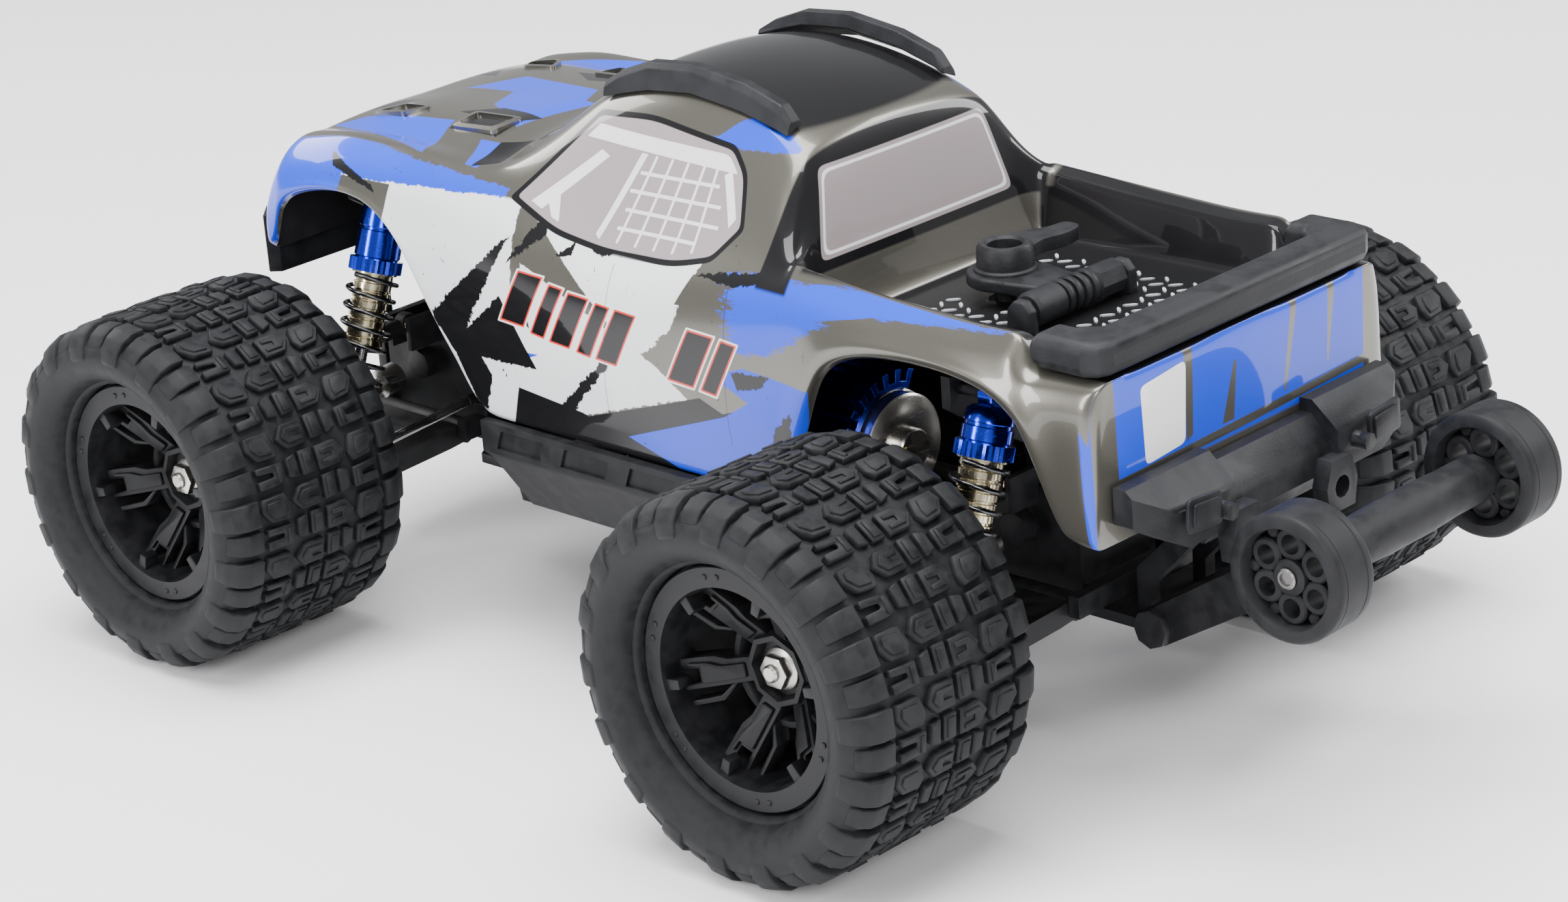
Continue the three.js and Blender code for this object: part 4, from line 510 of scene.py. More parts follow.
def build_plain_materials():
    MATERIALS["tyre"] = moulded(
        "Tyre rubber", (0.0075, 0.008, 0.009), 0.52, 0.66, 3200, 0.03 * MM, specular=0.2
    )
    MATERIALS["wheel"] = moulded(
        "Wheel nylon", (0.005, 0.0053, 0.006), 0.4, 0.5, 2200, 0.012 * MM, specular=0.25
    )
    MATERIALS["arm"] = moulded(
        "Suspension nylon", (0.007, 0.0073, 0.008), 0.42, 0.55, 1800, 0.015 * MM, specular=0.25
    )
    MATERIALS["chassis"] = moulded(
        "Chassis nylon", (0.009, 0.0093, 0.0105), 0.5, 0.62, 2000, 0.03 * MM, specular=0.2
    )
    MATERIALS["trim"] = moulded(
        "Grained trim", (0.009, 0.0093, 0.011), 0.44, 0.56, 1500, 0.06 * MM, specular=0.25
    )
    MATERIALS["steel"] = metal("Bright steel", (0.66, 0.65, 0.64))
    MATERIALS["dark_steel"] = metal("Dark steel", (0.24, 0.235, 0.23), 0.3, 0.42)
    MATERIALS["silver"] = metal("Silver joint metal", (0.62, 0.6, 0.56), 0.25, 0.36)
    MATERIALS["gold"] = metal("Pale gold barrel", (0.74, 0.66, 0.46), 0.14, 0.24)
    MATERIALS["copper"] = metal("Copper joint ball", (0.80, 0.46, 0.36), 0.2, 0.3)
    MATERIALS["blue_metal"] = metal("Blue anodised", (0.018, 0.05, 0.72), 0.16, 0.26, coat=0.4)
    MATERIALS["case"] = moulded("Electronics case", (0.02, 0.02, 0.022), 0.25, 0.35, 1200, 0.005 * MM)
    MATERIALS["battery"] = moulded("Battery sleeve", (0.05, 0.1, 0.32), 0.3, 0.4, 500, 0.02 * MM)
    MATERIALS["dark"] = moulded("Dark recess", (0.004, 0.004, 0.005), 0.7, 0.8, 1500, 0.02 * MM)
    MATERIALS["spring"] = metal("Spring steel", (0.10, 0.10, 0.105), 0.22, 0.34)
    MATERIALS["red_wire"] = moulded("Red wire", (0.45, 0.015, 0.01), 0.35, 0.45, 900, 0.005 * MM)
    MATERIALS["yellow_wire"] = moulded("Yellow wire", (0.6, 0.35, 0.02), 0.35, 0.45, 900, 0.005 * MM)
    MATERIALS["dash"] = moulded("Tread plate dash", (0.34, 0.36, 0.38), 0.3, 0.42, 900, 0.01 * MM)
    MATERIALS["vent_lip"] = metal("Vent lip paint", (0.22, 0.215, 0.19), 0.3, 0.4, coat=1.0)


# ---- Settings a user can change ----

class StageSettings(bpy.types.PropertyGroup):
    floor_size: FloatProperty(
        name="Floor size", description="Side of the square studio floor", default=6.0, unit="LENGTH",
    )
    key_power: FloatProperty(
        name="Key light power", description="Power of the large overhead softbox in watts", default=30.0,
    )
    ambient: FloatProperty(
        name="Ambient light", description="Strength of the even light from all round", default=0.5,
    )
    focal_length: FloatProperty(
        name="Focal length", description="Camera lens in millimetres on a 36 mm wide sensor", default=88.8,
    )


class ShellSettings(bpy.types.PropertyGroup):
    wall: FloatProperty(
        name="Wall", description="Thickness of the painted body sheet", default=1.2 * MM, unit="LENGTH",
    )
    blue: FloatVectorProperty(
        name="Blue", description="Main paint colour", subtype="COLOR", size=3, default=(0.008, 0.055, 0.68),
    )
    bronze: FloatVectorProperty(
        name="Bronze grey", description="Metallic paint colour", subtype="COLOR", size=3,
        default=(0.13, 0.124, 0.106),
    )
    white: FloatVectorProperty(
        name="White", description="Door paint colour", subtype="COLOR", size=3, default=(0.74, 0.76, 0.77),
    )
    black: FloatVectorProperty(
        name="Black", description="Roof and bed paint colour", subtype="COLOR", size=3,
        default=(0.006, 0.006, 0.007),
    )
    glass: FloatVectorProperty(
        name="Window tint", description="Colour seen in the windows", subtype="COLOR", size=3,
        default=(0.29, 0.25, 0.257),
    )


# ---- Stage ----

CAMERA_SPOT = spot(613.5, 628.6, 373.4)
CAMERA_AIM = spot(18.7, 31.8, 54.7)
CAMERA_ROLL = math.radians(-4.31)


def camera_turn():
    """The camera's turn: looking at the aim point, rolled about the line of sight."""
    forward = (CAMERA_AIM - CAMERA_SPOT).normalized()
    level = forward.cross(Vector((0, 0, 1))).normalized()
    upright = level.cross(forward)
    right = level * math.cos(CAMERA_ROLL) + upright * math.sin(CAMERA_ROLL)
    up = upright * math.cos(CAMERA_ROLL) - level * math.sin(CAMERA_ROLL)
    return Matrix((right, up, -forward)).transposed().to_4x4()


def softbox(name, location, aim, size, power, colour=(1, 1, 1)):
    light = bpy.data.lights.new(name, "AREA")
    light.shape = "RECTANGLE"
    light.size, light.size_y = size
    light.energy = power
    light.color = colour
    lamp = bpy.data.objects.new(name, light)
    lamp.location = location
    lamp.rotation_euler = (Vector(aim) - Vector(location)).to_track_quat("-Z", "Y").to_euler()
    bpy.context.scene.collection.objects.link(lamp)
    return lamp


class TRUCK_OT_stage(bpy.types.Operator):
    """Adds the studio floor, softboxes, even surrounding light and the camera"""
    bl_idname = "truck.stage"
    bl_label = "Stage"

    def execute(self, context):
        settings = context.scene.truck_stage
        scene = context.scene
        bm = bmesh.new()
        bmesh.ops.create_grid(bm, x_segments=1, y_segments=1, size=settings.floor_size / 2)
        mesh = bpy.data.meshes.new("studio_floor")
        bm.to_mesh(mesh)
        bm.free()
        material, g, shader = new_material("Studio floor")
        haze = g.noise(g.object_point(), 3.0, 2)
        g.feed(shader["Base Color"], g.mix(haze, (0.93, 0.93, 0.94, 1), (0.96, 0.96, 0.965, 1)))
        shader["Roughness"].default_value = 0.7
        mesh.materials.append(material)
        floor = bpy.data.objects.new("studio_floor", mesh)
        scene.collection.objects.link(floor)

        world = bpy.data.worlds.new("Studio")
        world.use_nodes = True
        background = world.node_tree.nodes["Background"]
        background.inputs["Color"].default_value = (0.97, 0.98, 1.0, 1)
        background.inputs["Strength"].default_value = settings.ambient
        scene.world = world
        power = settings.key_power
        softbox("overhead", (0.1, 0.05, 1.1), (0, 0, 0.08), (0.9, 0.9), power)
        softbox("rear_left_fill", (0.9, 1.1, 0.75), (0, 0, 0.08), (0.7, 0.5), power * 0.45, (1, 0.98, 0.99))
        softbox("left_strip", (1.2, -0.35, 0.6), (0, 0, 0.1), (0.25, 0.9), power * 0.4, (0.98, 0.97, 1.0))
        softbox("far_strip", (-1.0, 0.5, 0.7), (0, 0, 0.1), (0.3, 0.9), power * 0.35)
        softbox("front_strip", (0.1, -1.2, 0.7), (0, 0, 0.1), (0.9, 0.3), power * 0.3)

        camera = bpy.data.cameras.new("studio_camera")
        camera.lens = settings.focal_length
        camera.sensor_width = 36
        camera.clip_start = 0.01
        holder = bpy.data.objects.new("studio_camera", camera)
        holder.matrix_world = Matrix.Translation(CAMERA_SPOT) @ camera_turn()
        scene.collection.objects.link(holder)
        scene.camera = holder
        return {"FINISHED"}


# ---- Body shell ----

# Lengthwise lines of the shell's left half, from the top centre to the lower edge.
# Each is a run of (y, x, z) points in millimetres, y from the middle of the wheelbase.
BED_TOP, BED_FLOOR = 103.5, 97.0
SHELL_LINES = [
    # Centre line: hood, windscreen, roof, rear window, bed floor, tailgate top.
    ((-113, 0, 109), (-109.5, 0, 115.5), (-104.5, 0, 118), (-86, 0, 121), (-49, 0, 123.5),
      (-37, 0, 123), (-30, 0, 126), (-8, 0, 141.5), (6, 0, 145), (20, 0, 145.8), (36, 0, 143.6),
      (47, 0, 140.2), (56, 0, 135.6), (58.5, 0, 130), (63.5, 0, BED_FLOOR + 2), (66, 0, BED_FLOOR),
      (143, 0, BED_FLOOR), (145.5, 0, BED_FLOOR + 1.5), (147.5, 0, BED_TOP), (152.5, 0, BED_TOP)),
    # Hood bulge, roof and bed panel.
    ((-113, 12, 109), (-109.5, 12, 115.5), (-104.5, 13, 118.5), (-86, 14, 122), (-49, 14, 124.2),
      (-37, 14, 123), (-30, 13.5, 125.6), (-8, 12, 141.2), (6, 12, 144.7), (20, 12, 145.4),
      (36, 12, 143.1), (47, 12, 139.7), (56, 12, 135.2), (58.5, 12, 129.8), (63.5, 13, BED_FLOOR + 2),
      (66, 13, BED_FLOOR), (143, 13, BED_FLOOR), (145.5, 13, BED_FLOOR + 1.5), (147.5, 13, BED_TOP),
      (152.5, 13, BED_TOP)),
    # Vent row on the hood, roof edge, bed panel.
    ((-113, 25, 108), (-109.5, 25, 114.5), (-104.5, 26, 118), (-86, 27, 121.5), (-49, 27, 123),
      (-37, 26.5, 121.5), (-30, 26, 124), (-8, 23, 139.5), (6, 23.5, 143), (20, 24, 143.8),
      (36, 24, 141.6), (47, 24, 138.4), (56, 24.5, 134), (58.5, 25.5, 128.6), (63.5, 29, BED_FLOOR + 2),
      (66, 30, BED_FLOOR), (143, 31, BED_FLOOR), (145.5, 31, BED_FLOOR + 1.5), (147.5, 31, BED_TOP),
      (152.5, 31, BED_TOP)),
    # Valley beside the fender, windscreen edge, roof corner, bed floor corner.
    ((-113, 34, 107), (-109.5, 34, 113.5), (-104.5, 34.5, 117), (-86, 35, 118.8), (-49, 35.5, 119.5),
      (-37, 35, 119.2), (-30, 34, 121.5), (-8, 28, 137), (6, 28.2, 140), (20, 28.6, 140.8),
      (36, 28.6, 138.8), (47, 28.8, 136), (56, 29.5, 132.3), (58.5, 30.5, 126.8), (63.5, 36, BED_FLOOR + 2.5),
      (66, 37.5, BED_FLOOR + 0.5), (143, 38.5, BED_FLOOR + 0.5), (145.5, 38.5, BED_FLOOR + 1.5),
      (147.5, 38.5, BED_TOP), (152.5, 38, BED_TOP)),
    # Fender ridge, top of the side window, inner top of the bed wall.
    ((-113, 41, 106), (-109.5, 41, 112.5), (-104.5, 41.5, 118), (-86, 42, 121.5), (-60, 43, 121.2),
      (-43, 42.5, 119), (-30, 40.5, 118.8), (-8, 32.8, 131.5), (6, 32.6, 133.6), (20, 32.6, 133.6),
      (36, 32.8, 132.2), (47, 33.4, 130.2), (56, 34.4, 127.4), (58.5, 35.6, 122.5), (63.5, 40.5, 112.4),
      (66, 41, 111.6), (90, 41.5, 109.8), (117, 41.5, 108.9), (131, 41.5, 109.2), (134, 41.5, BED_TOP),
      (147.5, 41.5, BED_TOP), (152.5, 41, BED_TOP)),
    # Outer edge of the fender top, bottom of the side window, outer top of the bed wall.
    ((-113, 46, 104), (-109.5, 46.5, 110), (-104.5, 47, 115.2), (-86, 47.5, 118), (-60, 47.5, 117.4),
      (-43, 46, 116.8), (-30, 44, 116.4), (-18, 43.6, 114), (-8, 44, 110.6), (6, 44.3, 108.3),
      (20, 44.3, 108.5), (36, 44, 110.6), (47, 43.6, 112.8), (63.5, 44, 113.5), (90, 45.5, 111.4),
      (117, 45.8, 110), (131, 45.8, 110.4), (134, 46, BED_TOP), (152.5, 46, BED_TOP)),
    # Shoulder.
    ((-113, 49, 100), (-109.5, 49.5, 105.5), (-104.5, 50, 111), (-86, 50.6, 113.8), (-60, 50.5, 112.6),
      (-43, 49.6, 111), (-30, 48.6, 109.4), (-8, 49, 104.2), (6, 49.5, 102.2), (20, 49.6, 102.4),
      (47, 49.6, 105.6), (63.5, 49.6, 107.2), (90, 50.2, 107.2), (117, 50.3, 106.5), (131, 50.2, 105),
      (134, 50.2, BED_TOP - 1.6), (152.5, 49.6, BED_TOP - 1.6)),
    # Door and quarter panel.
    ((-113, 50, 96), (-109.5, 50.4, 100.5), (-104.5, 50.9, 107.6), (-86, 51.4, 111.2), (-68, 51.4, 109),
      (-60, 51.4, 105), (-49, 51.3, 97.5), (-30, 51.3, 95), (0, 51.9, 92), (30, 51.9, 92), (56, 51.6, 95),
      (70, 51.3, 101), (90, 51.5, 104.4), (117, 51.6, 103.8), (131, 51.4, 101), (143, 51.3, 95),
      (152.5, 50.8, 93)),
    # Crest of the wheel arch flares, lower door.
    ((-113, 50.4, 92), (-109.5, 50.8, 95.5), (-107, 51.2, 100), (-104.5, 51.6, 104.8), (-97, 52, 107.8),
      (-86, 52.3, 110), (-76, 52.3, 110), (-68, 52.3, 107.8), (-60, 52.3, 101), (-54.5, 52.2, 92),
      (-49, 52, 85), (-43, 51.9, 80), (-30, 51.8, 78), (0, 52.5, 77), (30, 52.5, 77), (63.5, 52.3, 79),
      (70, 52.6, 85), (76, 53, 95.6), (81, 53, 99.6), (90, 53, 102.2), (104, 53, 103.2), (117, 53, 102.6),
      (127, 53, 100.2), (134, 53, 95.4), (138.5, 52.8, 87), (143, 52.2, 78), (152.5, 51.4, 77)),
    # Wheel arch lips, door crease.
    ((-113, 50, 89.4), (-109.5, 50.5, 91.6), (-107, 51, 97.5), (-104.5, 51.3, 103), (-97, 51.6, 106.6),
      (-86, 51.8, 109), (-76, 51.8, 109), (-68, 51.8, 106.8), (-60, 51.8, 99.6), (-54.5, 51.6, 89),
      (-49, 51.4, 79.5), (-43, 51, 71.5), (-37, 50.8, 67.5), (0, 51.2, 66.5), (30, 51.2, 66.5),
      (58.5, 51, 67), (63.5, 51.2, 69), (66, 51.5, 72.5), (70, 51.8, 79.5), (73, 52.2, 86), (76, 52.4, 91.8),
      (81, 52.4, 96.6), (90, 52.4, 99.8), (104, 52.4, 101), (117, 52.4, 100.4), (127, 52.4, 98),
      (134, 52.3, 92.6), (138.5, 52.1, 82.6), (143, 51.6, 71.4), (147.5, 51.2, 70), (152.5, 51, 69.6)),
    # Lower edge, tucked in at the arches.
    ((-113, 48.4, 88), (-109.5, 48.9, 90.4), (-107, 49.3, 96.6), (-104.5, 49.5, 102.2), (-97, 49.8, 105.8),
      (-86, 50, 108.2), (-76, 50, 108.2), (-68, 50, 106), (-60, 50, 98.8), (-54.5, 49.8, 88),
      (-49, 49.6, 77.5), (-43, 49.8, 68), (-37, 50, 60.4), (-30, 50, 60), (58.5, 50, 60), (63.5, 50, 61),
      (66, 50, 65), (70, 50, 74.5), (73, 50.3, 83), (76, 50.5, 90.4), (81, 50.5, 95.8), (90, 50.5, 99),
      (104, 50.5, 100.2), (117, 50.5, 99.6), (127, 50.5, 97.2), (134, 50.4, 91.6), (138.5, 50.3, 81.4),
      (143, 50.2, 69.8), (147.5, 50, 68.4), (152.5, 49.8, 68)),
]
SHELL_STATIONS = [
    -113, -109.5, -107, -104.5, -97, -86, -76, -68, -60, -54.5, -49, -43, -37, -30, -18, -8, 6, 20, 36,
    47, 56, 58.5, 63.5, 66, 70, 76, 81, 90, 104, 117, 127, 131, 134, 138.5, 143, 145.5, 147.5, 152.5,
]
FLOOR_CORNER_LINE, WALL_INNER_LINE, WALL_OUTER_LINE, SHOULDER_LINE = 3, 4, 5, 5
FLARE_LINE, LIP_LINE = 8, 9


def point_on_line(line, y):
    """The point of a lengthwise line at one station, in metres."""
    index = max(1, next(i for i, point in enumerate(line) if point[0] >= y))
    (y0, x0, z0), (y1, x1, z1) = line[index - 1], line[index]
    share = (y - y0) / (y1 - y0)
    return spot(x0 + (x1 - x0) * share, y, z0 + (z1 - z0) * share)


def grid_of_points(bm, columns, rows, place):
    """A grid whose vertex in column i and row j goes to place(i, j)."""
    made = bmesh.ops.create_grid(bm, x_segments=columns - 1, y_segments=rows - 1, size=1)["verts"]
    cells = {}
    for vert in made:
        i = round((vert.co.x + 1) / 2 * (columns - 1))
        j = round((vert.co.y + 1) / 2 * (rows - 1))
        vert.co = place(i, j)
        cells[i, j] = vert
    return cells


def end_point(station, bulge, k, i):
    """A point of the front or tail face: row k down from the shoulder, column i out from the middle."""
    top = [point_on_line(line, station) for line in SHELL_LINES]
    if k == 0:
        return top[i]
    edge = top[SHOULDER_LINE + k]
    if i == SHOULDER_LINE:
        return edge
    across = top[i].x / top[SHOULDER_LINE].x * edge.x
    return Vector((across, edge.y + bulge * MM * (1 - (across / edge.x) ** 2), edge.z))


def crease_edges(bm, shell, layer):
    """Keeps the folds crisp where the moulded sheet has them."""
    def mark(a, b, amount):
        edge = bm.edges.get((shell[a], shell[b]))
        if edge:
            edge[layer] = max(edge[layer], amount)

    last_station = len(SHELL_STATIONS) - 1
    for i, y in enumerate(SHELL_STATIONS[:-1]):
        bed = y >= 63.5
        folds = {
            FLOOR_CORNER_LINE: 0.8 if bed else 0.25,
            WALL_INNER_LINE: 0.75 if bed else 0.15,
            WALL_OUTER_LINE: 0.55 if bed else 0.1,
            LIP_LINE: 0.55 if -37 <= y < 58.5 else 0.25,
            FLARE_LINE: 0.35 if -37 <= y < 63.5 else 0.1,
        }
        for line, amount in folds.items():
            mark((i, line), (i + 1, line), amount)
        mark((i, len(SHELL_LINES) - 1), (i + 1, len(SHELL_LINES) - 1), 0.6)
    for j in range(WALL_OUTER_LINE):
        mark((last_station, j), (last_station, j + 1), 0.7)
        for fold, amount in ((66, 0.7), (143, 0.7), (147.5, 0.7), (58.5, 0.3), (56, 0.2)):
            i = SHELL_STATIONS.index(fold)
            if j < WALL_INNER_LINE:
                mark((i, j), (i, j + 1), amount)
    for j in range(SHOULDER_LINE, len(SHELL_LINES) - 1):
        mark((last_station, j), (last_station, j + 1), 0.35)
        mark((0, j), (0, j + 1), 0.3)


def build_shell_mesh():
    bm = bmesh.new()
    layer = bm.edges.layers.float.new("crease_edge")
    columns, rows = len(SHELL_STATIONS), len(SHELL_LINES)
    shell = grid_of_points(
        bm, columns, rows, lambda i, j: point_on_line(SHELL_LINES[j], SHELL_STATIONS[i]),
    )
    crease_edges(bm, shell, layer)
    depth = rows - SHOULDER_LINE
    for station, bulge in ((SHELL_STATIONS[0], -1.4), (SHELL_STATIONS[-1], 0.6)):
        grid_of_points(
            bm, depth, SHOULDER_LINE + 1,
            lambda k, i, station=station, bulge=bulge: end_point(station, bulge, k, i),
        )
    bmesh.ops.remove_doubles(bm, verts=bm.verts, dist=1e-6)
    mirror_x(bm)
    bmesh.ops.remove_doubles(bm, verts=[v for v in bm.verts if abs(v.co.x) < 1e-5], dist=1e-5)
    bmesh.ops.recalc_face_normals(bm, faces=bm.faces)
    top = max(bm.faces, key=lambda f: f.calc_center_median().z)
    if top.normal.z < 0:
        bmesh.ops.reverse_faces(bm, faces=bm.faces)
    return bm


# ---- Paint scheme ----

# Shapes are four corners in millimetres: (y, z) on the sides, (x, y) seen from above
# and (x, z) on the tail. Later layers cover earlier ones.
SIDE_BLUE_FENDER = [
    ((-115, 124), (-53, 118.5), (-45, 113), (-75, 109)),
    ((-115, 124), (-75, 109), (-95, 85), (-120, 80)),
    ((-53, 118.5), (-27, 116), (-27, 114), (-45, 113)),
    ((28, 132.5), (38, 138.5), (54, 137.5), (54, 132.8)),
]
SIDE_WHITE = [
    ((-80, 113), (-22, 114.5), (-22, 58), (-60, 50)),
    ((-22, 114.5), (50, 110), (31, 94), (26, 82)),
    ((-22, 114), (26, 85), (40, 80), (-11, 64)),
    ((-22, 90), (8, 70), (-6, 65), (-22, 56)),
]
SIDE_LOWER_BLACK = [
    ((-6, 65), (40, 80), (57, 81), (30, 56)),
    ((-22, 70), (0, 68), (30, 56), (-30, 50)),
]
SIDE_GREY = [
    ((26, 85), (31, 94), (43, 88), (57, 81)),
    ((26, 85), (57, 81), (37, 74), (40, 80)),
    ((32, 100), (36, 107), (49, 107), (49, 101)),
    ((-80, 113), (-63, 113), (-68, 90), (-85, 80)),
]
SIDE_BLUE = [
    ((-30, 96), (-34, 90.5), (-36.5, 90), (-33, 93.5)),
    ((-21, 79.5), (-13, 80), (-23, 76), (-29, 78)),
    ((14, 65), (28, 70), (56, 80), (39, 57)),
    ((46, 76), (59, 84), (66, 57), (39, 57)),
    ((44, 86), (54, 89.5), (74, 88), (57, 81)),
    ((56, 81), (74, 88), (66, 57), (40, 62)),
    ((149, 94), (154.5, 86), (155, 60), (151.5, 60)),
]
SIDE_BLUE_BRUSHED = [
    ((48, 109.5), (90, 112), (91, 107.5), (52, 99)),
    ((90, 112), (129, 109.8), (108, 108.4), (91, 107.5)),
    ((48, 108), (79, 104), (60, 93), (50, 93)),
]
SIDE_BLACK = [
    ((-23, 107), (-38, 82), (-50, 80), (-50, 84)),
    ((-26, 92), (-38, 82), (-43, 75), (-14, 76)),
    ((-50, 83), (-38, 82), (-33, 74), (-44, 75)),
    ((-44, 76), (-33, 74), (-31, 71), (-37, 58)),
    ((9, 83), (12, 83), (-6, 65), (-11, 65)),
    ((36, 107), (64, 112), (64, 109.5), (49, 106.5)),
    ((-8, 104), (-3, 108), (-3, 105), (-5, 104)),
    ((0, 108), (13, 107.6), (6, 106), (3, 106.4)),
    ((-86, 117.5), (-84, 114.5), (-68, 110.5), (-69, 112)),
    ((-14, 112), (-24, 100), (-22, 101), (-12, 108)),
    ((50, 88), (62, 89), (60, 86), (52, 84)),
    ((62, 76), (68, 82), (66, 62), (60, 57)),
]
SIDE_WINDOW = [
    (-24, 114.8), (-10, 109.5), (6, 107.5), (28, 108.2), (39.5, 111), (45.5, 117.5), (42, 127.5), (37, 132),
    (11, 135), (-7, 133.5),
]
WINDOW_BARS = [
    ((-6, 132), (-9, 129), (40, 127.6), (39, 131)),
    ((-3, 127), (0, 126), (-16, 113), (-20, 114)),
    ((-15, 115), (-12, 117), (-10, 111), (-12, 111)),
    ((10, 128), (12, 128), (3.4, 109), (2, 110)),
    ((36.5, 127), (38.5, 128), (43.5, 119), (42, 117)),
]
NET_POSTS = [
    ((y_top, 128), (y_low, 109)) for y_top, y_low in ((15, 9), (20, 15), (25, 21), (30, 27), (34, 33))
]
NET_ROWS = [
    ((11, 124), (36, 124.5)), ((9, 120), (38, 120.5)), ((9, 116), (39, 116.5)), ((8, 112), (33, 112.5))
]
EMBLEM_BARS = [
    (-25, 98.5, 7.0), (-14.5, 97, 3.4), (-8, 96.2, 5.6), (1.2, 95.4, 3.4), (7.6, 95, 5.6), (31, 94.6, 7.0),
    (41.5, 94, 3.6),
]
TOP_BLUE = [
    ((33, -103), (27, -97), (25, -66), (43, -58)),
    ((43, -58), (44, -70), (36, -90), (33, -103)),
    ((31, -50), (42, -44), (42, -40), (30, -40)),
    ((0, -72), (12, -66), (23, -46), (0, -42)),
    ((-12, -80), (-8, -50), (0, -46), (0, -90)),
]
TOP_BLACK = [
    ((20, -64), (29, -64), (29, -47), (20, -47)),
    ((26, -95), (20, -89), (21, -80), (27, -82)),
    ((14, -60), (20, -70), (23, -50), (16, -44)),
    ((30, -44), (42, -42), (38, -36), (26, -36)),
    ((14, -104), (24, -106), (20, -98), (12, -92)),
]
WINDSCREEN = [(-25, -33.5), (25, -33.5), (21.5, -10), (-21.5, -10)]
TAIL_WHITE = [((35, 99.5), (20, 101), (21, 83), (34, 82))]
TAIL_GREY_AND_CREASE_HIGHLIGHT = [
    ((20.5, 106), (17.5, 106), (18.4, 84), (20.6, 83)),
    ((-17, 106), (-19.5, 106), (-14, 84), (-13, 84)),
    ((3, 96), (4, 96), (8.5, 83), (4.5, 83)),
    ((-30, 106), (-33, 106), (-29.5, 86), (-29, 86)),
    ((43.5, 106), (50, 106), (50, 60), (42, 60)),
    ((-43, 106), (-50, 106), (-50, 60), (-42, 60)),
    # Painted highlight: this full-width band follows the tailgate crease in place of its reflection; the bars
    # above it are grey streaks of the paint.
    ((-46, 83.5), (46, 81.5), (46, 79.5), (-46, 81.5)),
]
REAR_WINDOW = [(27.5, 130), (-27.5, 130), (-32.5, 110), (32.5, 110)]
GRILLE = [((-23, 96), (23, 96), (25, 107), (-25, 107))]
LAMPS = [((28, 99), (43, 98), (41, 105.5), (28, 107))]
# Door seams, drawn as thin half-strength black: painted shade standing in for the shade in their moulded
# grooves.
DOOR_SEAM_SHADE_LINES = [((48, 107), (48.6, 70)), ((10.5, 105), (9, 66))]


def strip(start, end, width):
    """Four corners of a straight bar between two points."""
    (u0, v0), (u1, v1) = start, end
    length = math.hypot(u1 - u0, v1 - v0)
    du, dv = (v1 - v0) / length * width / 2, -(u1 - u0) / length * width / 2
    return (u0 - du, v0 - dv), (u0 + du, v0 + dv), (u1 + du, v1 + dv), (u1 - du, v1 - dv)


def slanted_bar(y, top, width):
    """A leaning bar of the door's emblem."""
    lean, height, fall = 6.0, 11.6, 0.3
    return (y + lean, top), (y + lean + width, top - fall), (y + width, top - height - 0.4), (y, top - height)


def counter_clockwise(corners):
    area = sum(a[0] * b[1] - b[0] * a[1] for a, b in zip(corners, corners[1:] + corners[:1]))
    return corners if area > 0 else corners[::-1]


def drawn(g, point, shapes, softness=0.2, rounding=0.3):
    """Mask of all the places that lie inside any of the shapes."""
    return g.ramp(distance_to(g, point, shapes, rounding), softness / 2, -softness / 2)


def distance_to(g, point, shapes, rounding=0.3):
    nearest = None
    for corners in shapes:
        places = {letter: (0, *corner) for letter, corner in zip("ABCD", counter_clockwise(tuple(corners)))}
        distance = g.use(GROUPS["field"], Point=point, Rounding=rounding, **places)["Distance"]
        nearest = distance if nearest is None else g.math("MINIMUM", nearest, distance)
    return nearest


def distance_to_outline(g, point, outline, rounding):
    """Signed distance in millimetres to one convex outline, smoothed at its corners."""
    outline = counter_clockwise(tuple(outline))
    total = None
    for (u0, v0), (u1, v1) in zip(outline, outline[1:] + outline[:1]):
        length = math.hypot(u1 - u0, v1 - v0)
        outward = (0, (v1 - v0) / length, (u0 - u1) / length)
        offset = outward[1] * u0 + outward[2] * v0
        reach = g.math("SUBTRACT", g.vector("DOT_PRODUCT", point, outward), offset)
        total = reach if total is None else g.math("SMOOTH_MAX", total, reach, rounding)
    return total


def both(g, *masks):
    total = masks[0]
    for mask in masks[1:]:
        total = g.math("MULTIPLY", total, mask)
    return total


